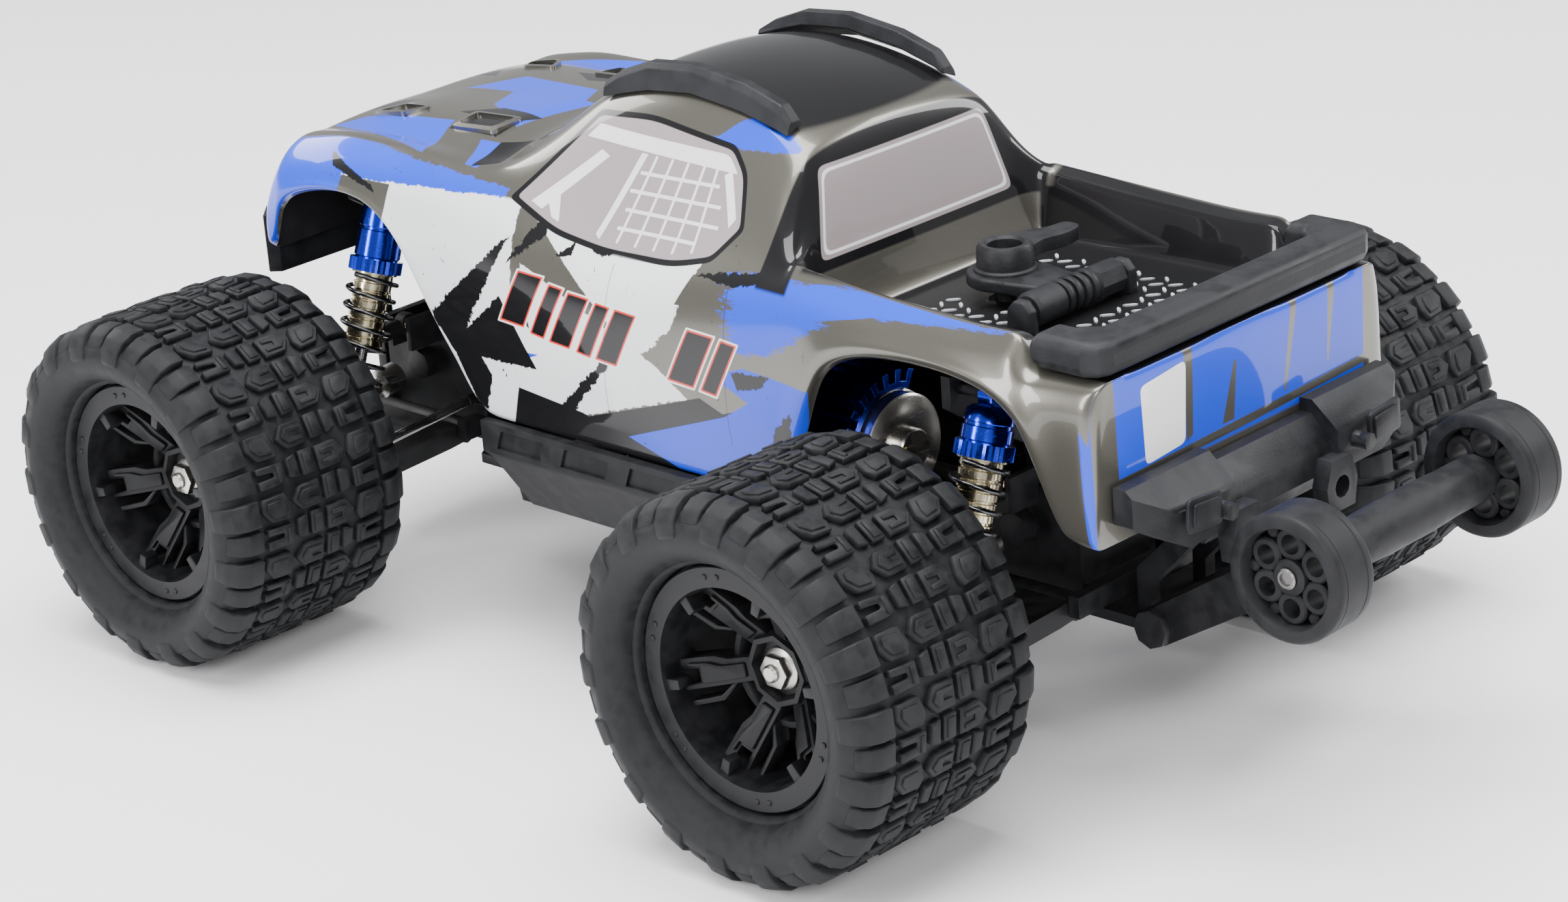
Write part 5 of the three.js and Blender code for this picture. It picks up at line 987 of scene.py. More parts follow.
def livery_group():
    """The whole paint scheme: colour, which parts are metallic, and which lie in the bed."""
    tree, g, given, out = new_group(
        "Livery",
        [("Blue", COLOUR), ("Bronze", COLOUR), ("White", COLOUR), ("Black", COLOUR), ("Glass", COLOUR)],
        [("Colour", COLOUR), ("Metallic", VALUE), ("Bed", VALUE)],
    )
    point = g.stretched(g.object_point(), (1 / MM, 1 / MM, 1 / MM), (0, -MID_Y / MM, 0))
    x, y, z = g.split(point)
    normal = g.node("ShaderNodeTexCoord").outputs["Normal"]
    nx, ny, nz = g.split(normal)
    outward = g.math("MULTIPLY", g.math("SIGN", x), nx)
    span = g.math("ABSOLUTE", x)

    tail = both(g, g.ramp(ny, 0.5, 0.6), g.ramp(y, 146, 147))
    in_bed = both(
        g, g.ramp(y, 56.5, 57.5), g.ramp(z, 109.5, 108.5), g.ramp(span, 42.5, 41.5),
        g.ramp(ny, 0.8, 0.6), g.ramp(y, 152.8, 152.2),
    )
    side = g.ramp(outward, 0.30, 0.42)
    cab_back = both(g, g.ramp(y, 55.6, 56.2), g.ramp(y, 66, 65), g.ramp(z, 107, 108))
    roof_top = both(g, g.ramp(z, 135.5, 137), g.ramp(outward, 0.62, 0.5))

    warp = g.noise(point, 0.55, 4, 0.7)
    torn = g.math("MULTIPLY", g.math("SUBTRACT", warp, 0.5), 2.4)
    side_point = g.join(0, y, z)
    ragged_side = g.join(0, g.math("ADD", y, torn), g.math("SUBTRACT", z, torn))
    fringe = g.noise(g.stretched(point, (1, 0.16, 1.3)), 1.1, 4, 0.8)
    brushed_side = g.join(
        0, g.math("ADD", y, g.math("MULTIPLY", g.math("SUBTRACT", fringe, 0.5), 26)),
        g.math("ADD", z, g.math("MULTIPLY", g.math("SUBTRACT", fringe, 0.5), 5)),
    )
    top_point = g.join(0, x, y)
    top_mirrored = g.join(0, span, y)
    tail_point = g.join(0, x, z)

    colour = given["Bronze"]
    metallic = 1.0

    def cover(mask, paint, shine=0.0):
        nonlocal colour, metallic
        colour = g.mix(mask, colour, paint)
        metallic = g.blend_value(mask, metallic, shine)

    # Sides.
    low_side = g.ramp(z, 114.5, 113.8)
    cover(both(g, side, drawn(g, ragged_side, SIDE_BLUE_FENDER, 0.3)), given["Blue"])
    cover(both(g, side, drawn(g, ragged_side, SIDE_WHITE, 0.2), low_side), given["White"])
    cover(both(g, side, drawn(g, side_point, SIDE_LOWER_BLACK)), given["Black"])
    cover(both(g, side, drawn(g, side_point, SIDE_GREY)), given["Bronze"], 1.0)
    cover(both(g, side, drawn(g, side_point, SIDE_BLUE)), given["Blue"])
    cover(both(g, side, drawn(g, brushed_side, SIDE_BLUE_BRUSHED, 0.2)), given["Blue"])
    cover(both(g, side, drawn(g, ragged_side, SIDE_BLACK)), given["Black"])
    painted_side = both(g, side, g.ramp(z, 118, 116), g.ramp(y, -110, -90), g.ramp(y, 118, 60))
    flecks = g.use(GROUPS["flecks"], Point=point, Amount=0.8)["Mask"]
    cover(both(g, painted_side, flecks), given["Black"])
    tail_flecks = g.use(GROUPS["flecks"], Point=point, Amount=0.3)["Mask"]
    cover(both(g, side, tail_flecks, g.ramp(y, 60, 90), g.ramp(z, 104, 100)), given["Black"])

    # Emblem of slanted bars: light rim, red line, black body.
    bars = [slanted_bar(*bar) for bar in EMBLEM_BARS]
    emblem = distance_to(g, side_point, bars, 0.5)
    cover(both(g, side, g.ramp(emblem, 1.2, 1.0)), (0.8, 0.8, 0.8, 1))
    cover(both(g, side, g.ramp(emblem, 0.75, 0.6)), (0.62, 0.03, 0.02, 1))
    cover(both(g, side, g.ramp(emblem, 0.3, 0.15)), given["Black"])
    # Painted shade along the door seams: half-strength black where their grooves would be shaded.
    seam_shade = drawn(g, side_point, [strip(*line, 0.28) for line in DOOR_SEAM_SHADE_LINES], 0.1)
    cover(both(g, side, g.math("MULTIPLY", seam_shade, 0.5)), given["Black"])

    # Hood, seen from above.
    top = both(g, g.math("SUBTRACT", 1.0, side), g.ramp(y, -6, -8))
    cover(both(g, top, drawn(g, top_mirrored, TOP_BLUE[:3], 0.4)), given["Blue"])
    cover(both(g, top, drawn(g, top_point, TOP_BLUE[3:], 0.4)), given["Blue"])
    cover(both(g, top, drawn(g, top_mirrored, TOP_BLACK, 0.4)), given["Black"])

    # Roof, its rear edge and the bed are black; the tail is blue with grey streaks, and the grey band across
    # it along the tailgate crease is a painted highlight.
    cover(roof_top, given["Black"])
    cover(cab_back, given["Black"])
    cover(in_bed, given["Black"])
    cover(both(g, g.ramp(y, 66, 68), g.ramp(span, 46, 44.5), g.ramp(z, 100, 101)), given["Black"])
    cover(both(g, tail, g.ramp(z, 79, 80)), given["Blue"])
    cover(both(g, tail, drawn(g, tail_point, TAIL_GREY_AND_CREASE_HIGHLIGHT, 0.3)), given["Bronze"], 1.0)
    cover(both(g, tail, drawn(g, tail_point, TAIL_WHITE, 0.2, 2.5)), (0.9, 0.9, 0.9, 1))

    # Front: dark grille between pale lamps.
    nose = both(g, g.ramp(ny, -0.35, -0.5), g.ramp(y, -98, -101))
    lamp_point = g.join(0, span, z)
    cover(nose, given["Blue"])
    cover(both(g, nose, drawn(g, tail_point, GRILLE, 0.3, 1.5)), given["Black"])
    cover(both(g, nose, drawn(g, lamp_point, LAMPS, 0.3, 1.0)), given["Glass"])

    # Windows: black frame, tinted film, white printed bars and net.
    pane = distance_to_outline(g, side_point, SIDE_WINDOW, 1.6)
    cab_side = both(g, side, g.ramp(z, 106, 107))
    screen = distance_to_outline(g, top_point, WINDSCREEN, 2.0)
    rear = distance_to_outline(g, tail_point, REAR_WINDOW, 3.5)
    on_screen = both(g, g.ramp(y, -38, -36), g.ramp(y, -6, -8), g.ramp(outward, 0.7, 0.6))
    cover(both(g, cab_side, g.ramp(pane, 1.3, 1.15)), given["Black"])
    cover(both(g, on_screen, g.ramp(screen, 1.6, 1.4)), given["Black"])
    film = both(g, cab_side, g.ramp(pane, 0.1, -0.1))
    film = g.math("MAXIMUM", film, both(g, on_screen, g.ramp(screen, 0.1, -0.1)))
    film = g.math("MAXIMUM", film, both(g, cab_back, g.ramp(rear, 0.1, -0.1)))
    cover(film, given["Glass"])
    rim = both(g, cab_back, g.ramp(rear, -0.8, -1.0), g.ramp(rear, -1.7, -1.5))
    print_mask = g.math("MAXIMUM", drawn(g, side_point, WINDOW_BARS, 0.15), drawn(
        g, side_point, [strip(*line, 0.75) for line in NET_POSTS + NET_ROWS], 0.15,
    ))
    prints = both(g, cab_side, g.ramp(pane, -1.0, -1.2), print_mask)
    cover(g.math("MAXIMUM", prints, rim), (0.72, 0.72, 0.73, 1))

    g.feed(out["Colour"], colour)
    g.feed(out["Metallic"], metallic)
    g.feed(out["Bed"], both(g, in_bed, g.ramp(nz, 0.6, 0.8)))
    return tree


def paint_material(settings):
    """Glossy paint on the clear sheet, with metal flake in the bronze areas."""
    material, g, shader = new_material("Body paint")
    livery = g.use(
        livery_group(), Blue=(*settings.blue, 1), Bronze=(*settings.bronze, 1),
        White=(*settings.white, 1), Black=(*settings.black, 1), Glass=(*settings.glass, 1),
    )
    flake = g.noise(g.object_point(), 5200, 1)
    sheen = g.math("MULTIPLY", livery["Metallic"], 0.72)
    dimmed = g.mix(
        g.math("MULTIPLY", g.ramp(flake, 0.35, 0.65), sheen), livery["Colour"], (0.20, 0.19, 0.165, 1)
    )
    g.feed(shader["Base Color"], g.mix(0.25, livery["Colour"], dimmed))
    g.feed(shader["Metallic"], sheen)
    g.feed(shader["Roughness"], g.blend_value(
        livery["Bed"], g.blend_value(livery["Metallic"], 0.3, 0.28), 0.55
    ))
    g.feed(shader["Normal"], g.bump(g.noise(g.object_point(), 22, 2), 0.35 * MM))
    g.feed(shader["Coat Weight"], g.math("SUBTRACT", 0.7, g.math("MULTIPLY", livery["Bed"], 0.62)))
    shader["Coat Roughness"].default_value = 0.035
    shader["Specular IOR Level"].default_value = 0.1
    return material


def rounded_sheet(bm, levels):
    """The shell mesh after smoothing; gives back a new bmesh."""
    mesh = bpy.data.meshes.new("sheet")
    bm.to_mesh(mesh)
    bm.free()
    holder = bpy.data.objects.new("sheet", mesh)
    bpy.context.scene.collection.objects.link(holder)
    smoothing = holder.modifiers.new("smoothing", "SUBSURF")
    smoothing.levels = levels
    result = holder.evaluated_get(bpy.context.evaluated_depsgraph_get()).to_mesh()
    smooth = bmesh.new()
    smooth.from_mesh(result)
    holder.to_mesh_clear()
    bpy.data.objects.remove(holder)
    bpy.data.meshes.remove(mesh)
    return smooth


def open_post_hole(bm, middle, radius):
    """Cuts a round hole through the bed floor for the body post."""
    def across(point):
        return math.hypot(point.x - middle.x, point.y - middle.y)

    near = [
        f for f in bm.faces
        if across(f.calc_center_median()) < radius and abs(f.calc_center_median().z - middle.z) < 4 * MM
    ]
    bmesh.ops.delete(bm, geom=near, context="FACES")
    for edge in bm.edges:
        if edge.is_boundary and all(across(v.co) < radius * 1.6 for v in edge.verts):
            for vert in edge.verts:
                reach = across(vert.co)
                vert.co.x = middle.x + (vert.co.x - middle.x) * radius / reach
                vert.co.y = middle.y + (vert.co.y - middle.y) * radius / reach


class TRUCK_OT_shell(bpy.types.Operator):
    """Builds the painted body sheet with the hole for its post"""
    bl_idname = "truck.shell"
    bl_label = "Body shell"

    def execute(self, context):
        settings = context.scene.truck_shell
        bm = rounded_sheet(build_shell_mesh(), 3)
        open_post_hole(bm, spot(0, 87, BED_FLOOR), 3.4 * MM)
        piece = finish_piece(
            "body_sheet", bm, [paint_material(settings), MATERIALS["dark"]], "shell",
            ("body_shell",), sharp=180, recalc=False,
        )
        sheet = piece.modifiers.new("sheet", "SOLIDIFY")
        sheet.thickness = settings.wall
        sheet.offset = -1
        sheet.material_offset = 1
        sheet.material_offset_rim = 1
        return {"FINISHED"}


# ---- Wheels ----

TREAD_PITCHES = 18
TREAD_RADIUS = 43.0


def mm_points(points):
    return [(u * MM, v * MM) for u, v in points]


def place_at(bm, corner, verts=None):
    """Moves a wheel modelled about the origin, outboard along +X, to its corner; mirrored on the right."""
    side = side_of(corner)
    matrix = Matrix.Translation(WHEEL_CENTRE[corner]) @ Matrix.Diagonal((side, 1, 1, 1))
    bmesh.ops.transform(bm, matrix=matrix, verts=verts or bm.verts)
    if side < 0:
        bmesh.ops.reverse_faces(bm, faces=bm.faces)


def wrapped(verts):
    """Wraps verts laid out as (across, round the tyre, height from the axle) about the X axis."""
    for vert in verts:
        turn = vert.co.y / (TREAD_RADIUS * MM)
        vert.co = Vector((vert.co.x, vert.co.z * math.sin(turn), vert.co.z * math.cos(turn)))


# One pitch of tread on one side: outlines as (across, round) in millimetres.
TREAD_BLOCKS = [
    [(0.6, 0.6), (6.6, 0.6), (9.0, 3.6), (6.6, 6.6), (0.6, 6.6)],
    [(0.6, 7.8), (4.4, 7.8), (4.4, 13.8), (0.6, 13.8)],
    [(5.4, 7.8), (8.4, 8.6), (8.4, 13.0), (5.4, 13.8)],
    [(9.6, 5.0), (11.0, 0.8), (17.6, 0.8), (18.4, 3.6), (15.8, 7.0), (10.6, 7.4)],
    [(9.8, 8.8), (17.4, 8.4), (17.4, 10.0), (12.6, 10.4), (12.6, 11.6), (17.4, 11.6), (17.4, 13.8),
     (9.8, 13.8)],
]
TREAD_PADS = [
    [(1.6, 1.8), (6.0, 1.8), (7.6, 3.6), (6.0, 5.4), (1.6, 5.4), (1.6, 4.4), (4.6, 4.2), (4.6, 3.0),
     (1.6, 2.8)],
    [(1.3, 8.6), (3.7, 8.6), (3.7, 13.0), (1.3, 13.0)],
    [(11.4, 4.6), (12.2, 2.0), (16.6, 2.0), (17.0, 3.6), (15.2, 5.8), (11.6, 6.2)],
    [(10.6, 9.4), (11.9, 9.4), (11.9, 13.2), (10.6, 13.2)],
]
SHOULDER_LUG = [
    (18.9, 41.0), (18.9, 43.7), (22.8, 43.5), (25.6, 42.0), (27.4, 39.4), (28.0, 36.2), (27.0, 34.6),
    (24.5, 38.5),
]
SMALL_LUG = [(18.6, 41.0), (18.6, 43.2), (22.4, 43.0), (25.0, 41.6), (26.8, 39.2), (26.2, 38.2), (23.8, 39.8)]


def add_tread(bm):
    old = set(bm.verts)
    pitch = math.tau * TREAD_RADIUS / TREAD_PITCHES
    for side, shift in ((1, 0.0), (-1, pitch / 2)):
        def laid(outline):
            points = mm_points([(side * x, y + shift) for x, y in outline])
            return points if side > 0 else points[::-1]

        for outline in TREAD_BLOCKS:
            wrapped(plate(bm, laid(outline), "Z", 41 * MM, 43.6 * MM, 0.35 * MM, 1))
        for outline in TREAD_PADS:
            wrapped(plate(bm, laid(outline), "Z", 43 * MM, 44 * MM, 0.15 * MM, 1))
        for lug, start, end in ((SHOULDER_LUG, 0.4, 6.9), (SMALL_LUG, 8.1, 13.6)):
            profile = mm_points([(side * x, r) for x, r in lug])
            wrapped(plate(bm, profile, "Y", (start + shift) * MM, (end + shift) * MM, 0.5 * MM, 2))
    block = [v for v in bm.verts if v not in old]
    block_edges = {e for v in block for e in v.link_edges}
    block_faces = {f for v in block for f in v.link_faces}
    geom = block + list(block_edges) + list(block_faces)
    last = TREAD_PITCHES - 1
    bmesh.ops.spin(
        bm, geom=geom, cent=(0, 0, 0), axis=(1, 0, 0), dvec=(0, 0, 0),
        angle=math.tau * last / TREAD_PITCHES, steps=last, use_duplicate=True, use_merge=False,
    )


def both_ways(half):
    """A profile of one side followed by its mirror image, from the outboard bead round to the inboard one."""
    return half + [(-along, radius) for along, radius in reversed(half)]


def build_tyre_mesh():
    bm = bmesh.new()
    outside = both_ways([
        (16.9, 24.7), (17.0, 27.9), (20.6, 28.0), (21.6, 28.3), (22.0, 29.0), (23.6, 29.4), (25.8, 30.9),
        (27.3, 33.4), (27.7, 35.8), (26.9, 38.6), (24.6, 40.6), (20.0, 41.7), (10.0, 42.1),
    ])
    cavity = [(-along, radius) for along, radius in both_ways([
        (15.0, 24.7), (16.6, 28.0), (22.4, 31.5), (24.0, 35.5), (22.0, 38.2), (10.0, 39.4),
    ])]
    lathe(bm, mm_points(outside + cavity + outside[:1]), (0, 0, 0), (1, 0, 0), 96)
    bmesh.ops.recalc_face_normals(bm, faces=bm.faces)
    flutes = set(bm.verts)
    for index in range(2 * TREAD_PITCHES):
        turn = Matrix.Rotation(math.tau * (index + 0.25) / (2 * TREAD_PITCHES), 4, "X")
        for side in (1, -1):
            inner, outer = (side * 25.6 * MM, 0, 32.2 * MM), (side * 26.3 * MM, 0, 38.0 * MM)
            rib = rod(bm, 0.7 * MM, inner, outer, 6, 0.3 * MM)
            bmesh.ops.transform(bm, matrix=turn, verts=rib)
    bmesh.ops.recalc_face_normals(
        bm, faces=list({f for v in bm.verts if v not in flutes for f in v.link_faces})
    )
    add_tread(bm)
    return bm


def angled(radius, degrees):
    """(y, z) at a radius and an angle on the wheel, in metres."""
    angle = math.radians(degrees)
    return radius * MM * math.cos(angle), radius * MM * math.sin(angle)


def add_spoke(bm, turn):
    """A broad stepped spoke with a thin side bar, and the tab on the rim's lip that meets its notched end."""
    matrix = Matrix.Rotation(math.radians(turn), 4, "X")
    bar = [(7.6, -2.7), (12.5, -2.9), (15.0, -4.0), (21.9, -4.3), (21.9, -1.7), (18.6, -1.5), (18.6, 1.5),
           (21.9, 1.7), (21.9, 2.9), (7.6, 2.7)]
    side_bar = [(11.6, 2.5), (12.6, 2.6), (15.4, 5.0), (21.9, 5.4), (21.9, 6.6), (14.8, 6.2)]
    pad = [(9.0, -1.6), (13.5, -1.7), (16.0, -2.8), (19.8, -3.2), (19.8, -2.2), (17.6, -2.0), (17.6, 1.7),
           (9.0, 1.6)]
    for outline, low, high in ((bar, 2.4, 7.4), (side_bar, 2.6, 6.8), (pad, 7.2, 8.4)):
        new = plate(bm, mm_points(outline), "X", low * MM, high * MM, 0.3 * MM, 2)
        for vert in new:
            reach = math.hypot(vert.co.y, vert.co.z) - 8 * MM
            vert.co.x += max(0, reach) * 0.55
        bmesh.ops.transform(bm, matrix=matrix, verts=new)
    tab = [(18.8, -1.1), (22.9, -1.4), (22.9, 1.4), (18.8, 1.1)]
    new = plate(bm, mm_points(tab), "X", 15.6 * MM, 19.4 * MM, 0.3 * MM, 2)
    bmesh.ops.transform(bm, matrix=matrix, verts=new)


def build_rim_mesh(spokes):
    bm = bmesh.new()
    barrel = mm_points([
        (20.2, 22.6), (20.2, 27.0), (19.9, 27.3), (17.6, 27.3), (17.3, 26.9), (17.3, 24.3), (16.6, 24.1),
        (-17.3, 24.1), (-17.3, 27.3), (-20.2, 27.3), (-20.2, 22.2), (-15.0, 21.8), (14.0, 21.8), (18.6, 22.2),
    ])
    lathe(bm, barrel + barrel[:1], (0, 0, 0), (1, 0, 0), 96)
    hub = mm_points(
        [(1.0, 3.4), (1.0, 9.0), (6.2, 9.0), (8.6, 8.2), (8.6, 7.0), (6.0, 6.4), (6.0, 3.4), (1.0, 3.4)]
    )
    lathe(bm, hub, (0, 0, 0), (1, 0, 0), 8)
    web = mm_points(
        [(3.0, 11.2), (3.0, 13.4), (7.0, 13.4), (7.6, 12.9), (7.6, 11.6), (7.0, 11.2), (3.0, 11.2)]
    )
    lathe(bm, web, (0, 0, 0), (1, 0, 0), 36)
    for index in range(spokes):
        turn = 360 * index / spokes
        add_spoke(bm, turn + 12)
        for offset in (-4.2, 4.2):
            y, z = angled(24.9, turn + 42 + offset)
            lathe(bm, mm_points([(20.1, 0), (20.1, 0.75), (20.45, 0.6), (20.6, 0)]), (0, y, z), (1, 0, 0), 10)
    bmesh.ops.recalc_face_normals(bm, faces=bm.faces)
    return bm


def add_hex(bm, across_flats, low, high, ease):
    """A six-sided bar along X with rounded corners, for nuts and wheel drives."""
    corner = across_flats / math.sqrt(3)
    outline = [
        (corner * math.cos(math.radians(a)), corner * math.sin(math.radians(a))) for a in range(0, 360, 60)
    ]
    return plate(bm, outline, "X", low, high, ease, 2)


def build_axle_mesh(low, high):
    """Stub axle from x = low to x = high, with its hexagonal drive and flanged nut."""
    bm = bmesh.new()
    rod(bm, 3.0 * MM, (low, 0, 0), (0.9 * MM, 0, 0), 24, 0.4 * MM)
    rod(bm, 2.0 * MM, (0.5 * MM, 0, 0), (high, 0, 0), 24, 0.5 * MM)
    add_hex(bm, 12 * MM, -3.4 * MM, 0.6 * MM, 0.5 * MM)
    lathe(bm, mm_points([(6.1, 0), (6.1, 4.9), (6.9, 4.7), (7.6, 3.6), (7.6, 0)]), (0, 0, 0), (1, 0, 0), 32)
    add_hex(bm, 7 * MM, 7.4 * MM, high - 1.2 * MM, 0.45 * MM)
    bmesh.ops.recalc_face_normals(bm, faces=bm.faces)
    return bm


def corner_copies(source, name, material, part, body, sharp=38):
    """Puts a wheel piece modelled about the origin at all four corners."""
    for corner in CORNERS:
        bm = source.copy()
        place_at(bm, corner)
        finish_piece(
            f"{corner}_{name}", bm, material, f"{corner}_{body}", (f"{corner}_{part}",), sharp,
            recalc=False,
        )
    source.free()


class WheelSettings(bpy.types.PropertyGroup):
    spokes: IntProperty(name="Spokes", description="Split spokes in each wheel", default=6, min=3, max=12)


class TRUCK_OT_tyres(bpy.types.Operator):
    """Builds the four chunky tyres"""
    bl_idname = "truck.tyres"
    bl_label = "Tyres"

    def execute(self, context):
        corner_copies(build_tyre_mesh(), "chunky_tyre", MATERIALS["tyre"], "tyre", "wheel", 45)
        return {"FINISHED"}


class TRUCK_OT_rims(bpy.types.Operator):
    """Builds the four wheels with split spokes, and their axles and nuts"""
    bl_idname = "truck.rims"
    bl_label = "Rims and axles"

    def execute(self, context):
        spokes = context.scene.truck_wheels.spokes
        corner_copies(
            build_rim_mesh(spokes), "spoked_rim", MATERIALS["wheel"], "rim", "wheel"
        )
        low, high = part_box("front_left_wheel_axle")
        middle = WHEEL_CENTRE["front_left"].x
        axle = build_axle_mesh(low.x - middle, high.x - middle)
        corner_copies(axle, "axle_and_nut", MATERIALS["silver"], "wheel_axle", "wheel")
        return {"FINISHED"}


# ---- Suspension ----

ARM_END = (61, 33)
LINK_PIVOT = (19.5, 62)
LINK_END = (60.5, 58)
SHOCK_FOOT = (54.5, 42)
SHOCK_Y = 14
SHOCK_BORE = 1.9 * MM
SHOCKS = {
    "front": {"top": (31.5, 104), "cap": 18.4, "collar": 21.4, "barrel": 40.4, "cup": 57.1},
    "rear": {"top": (36.5, 90.5), "cap": 10.4, "collar": 13.4, "barrel": 28.4, "cup": 42.7},
}


def axle_y(corner):
    """Distance of an axle from the middle of the wheelbase, in millimetres."""
    return (WHEEL_CENTRE[corner].y - MID_Y) / MM


def shock_line(corner):
    """Top pivot, unit direction down the shock, and its length in metres."""
    data = SHOCKS[corner.split("_")[0]]
    side, y = side_of(corner), axle_y(corner) + SHOCK_Y
    top = spot(side * data["top"][0], y, data["top"][1])
    foot = spot(side * SHOCK_FOOT[0], y, SHOCK_FOOT[1])
    return top, (foot - top).normalized(), (foot - top).length


def knurled(bm, radius, start, end, direction, origin, teeth=30, depth=0.35 * MM):
    """A bored collar with straight knurling: a many-toothed ring round the shock's axis."""
    count = teeth * 2
    rings = []
    for along, bored in ((start, False), (end, False), (end, True), (start, True)):
        ring = []
        for index in range(count):
            reach = SHOCK_BORE if bored else radius - (depth if index % 2 else 0)
            angle = math.tau * index / count
            ring.append(bm.verts.new((along, reach * math.cos(angle), reach * math.sin(angle))))
        rings.append(ring)
    for ring, following in zip(rings, rings[1:] + rings[:1]):
        for index in range(count):
            after = (index + 1) % count
            bm.faces.new((ring[index], ring[after], following[after], following[index]))
    turn = Vector((1, 0, 0)).rotation_difference(direction).to_matrix().to_4x4()
    bmesh.ops.transform(
        bm, matrix=Matrix.Translation(origin) @ turn, verts=[v for ring in rings for v in ring]
    )


def add_eye(bm, point, radius, half, hole=0.0):
    """A round eye with its axis along the truck."""
    y = Vector((0, half, 0))
    if hole == 0:
        rod(bm, radius, point - y, point + y, 24, 0.4 * MM)
        return
    profile = [(0, hole), (0, radius - 0.3 * MM), (0.3 * MM, radius), (2 * half - 0.3 * MM, radius),
               (2 * half, radius - 0.3 * MM), (2 * half, hole), (0, hole)]
    lathe(bm, profile, point - y, (0, 1, 0), 24)


def shock_pieces(corner):
    data = SHOCKS[corner.split("_")[0]]
    top, down, length = shock_line(corner)
    cap, collar, barrel = (data[key] * MM for key in ("cap", "collar", "barrel"))
    body = f"{corner}_shock_body"

    bm = bmesh.new()
    add_eye(bm, top, 3.4 * MM, 2 * MM, 1.85 * MM)
    lathe(bm, [
        (2.4 * MM, 0), (2.4 * MM, 4.2 * MM), (3.4 * MM, 5.3 * MM), (cap * 0.55, 5.7 * MM),
        (cap * 0.55 + 0.2 * MM, 5.2 * MM), (cap * 0.55 + 0.9 * MM, 5.2 * MM),
        (cap * 0.55 + 1.1 * MM, 5.7 * MM),
        (cap - 0.8 * MM, 5.7 * MM), (cap - 0.4 * MM, 5.2 * MM), (cap, 5.2 * MM), (cap, SHOCK_BORE),
        (4.6 * MM, SHOCK_BORE), (4.6 * MM, 0),
    ], top, down, 36)
    knurled(bm, 6.6 * MM, cap - 0.2 * MM, collar, down, top)
    finish_piece(f"{corner}_shock_cap", bm, MATERIALS["blue_metal"], body, (body,))

    bm = bmesh.new()
    steps = [(collar - 0.5 * MM, SHOCK_BORE), (collar - 0.5 * MM, 5.6 * MM), (collar + 0.5 * MM, 5.6 * MM)]
    place = collar + 0.5 * MM
    while place < barrel - 2.2 * MM:
        steps += [(place, 4.8 * MM), (place + 1.5 * MM, 4.8 * MM), (place + 1.7 * MM, 4.35 * MM),
                  (place + 2.1 * MM, 4.35 * MM)]
        place += 2.3 * MM
    steps += [(place, 4.8 * MM), (barrel - 0.4 * MM, 4.8 * MM), (barrel, 4.4 * MM), (barrel, SHOCK_BORE),
              (collar - 0.5 * MM, SHOCK_BORE)]
    lathe(bm, steps, top, down, 36)
    finish_piece(f"{corner}_shock_barrel", bm, MATERIALS["gold"], body)

    rod_body = f"{corner}_shock_rod"
    bm = bmesh.new()
    rod(bm, 1.6 * MM, top + down * (barrel - 8 * MM), top + down * (length - 2 * MM), 20)
    finish_piece(f"{corner}_piston_rod", bm, MATERIALS["steel"], rod_body, (rod_body,))
    bm = bmesh.new()
    lathe(bm, [
        (length - 9.2 * MM, 0), (length - 9.2 * MM, 3.0 * MM), (length - 8.8 * MM, 6.3 * MM),
        (length - 7.0 * MM, 6.4 * MM), (length - 6.5 * MM, 3.4 * MM), (length - 3.0 * MM, 3.0 * MM),
        (length - 2.2 * MM, 2.2 * MM), (length - 2.2 * MM, 0),
    ], top, down, 32)
    knurled(bm, 6.4 * MM, length - 8.9 * MM, length - 7.1 * MM, down, top, 26, 0.25 * MM)
    add_eye(bm, top + down * length, 3.0 * MM, 2 * MM)
    finish_piece(f"{corner}_shock_foot", bm, MATERIALS["blue_metal"], rod_body)


def coil_spring(corner, settings):
    """Open coil between the knurled collar and the lower cup."""
    data = SHOCKS[corner.split("_")[0]]
    top, down, length = shock_line(corner)
    start, end = data["collar"] * MM + 1.0 * MM, length - 10.3 * MM
    side = down.cross(Vector((0, 1, 0))).normalized()
    turns = settings.front_turns if corner.startswith("front") else settings.rear_turns
    steps = 22 * turns
    points = []
    for index in range(steps + 1):
        share = index / steps
        angle = math.tau * turns * share
        along = start + (end - start) * share
        around = side * math.cos(angle) + Vector((0, 1, 0)) * math.sin(angle)
        points.append(top + down * along + around * settings.coil_radius)
    bm = bmesh.new()
    add_tube(bm, points, settings.wire / 2, 3)
    spring = finish_piece(f"{corner}_spring", bm, MATERIALS["spring"], None, sharp=60)
    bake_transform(spring)


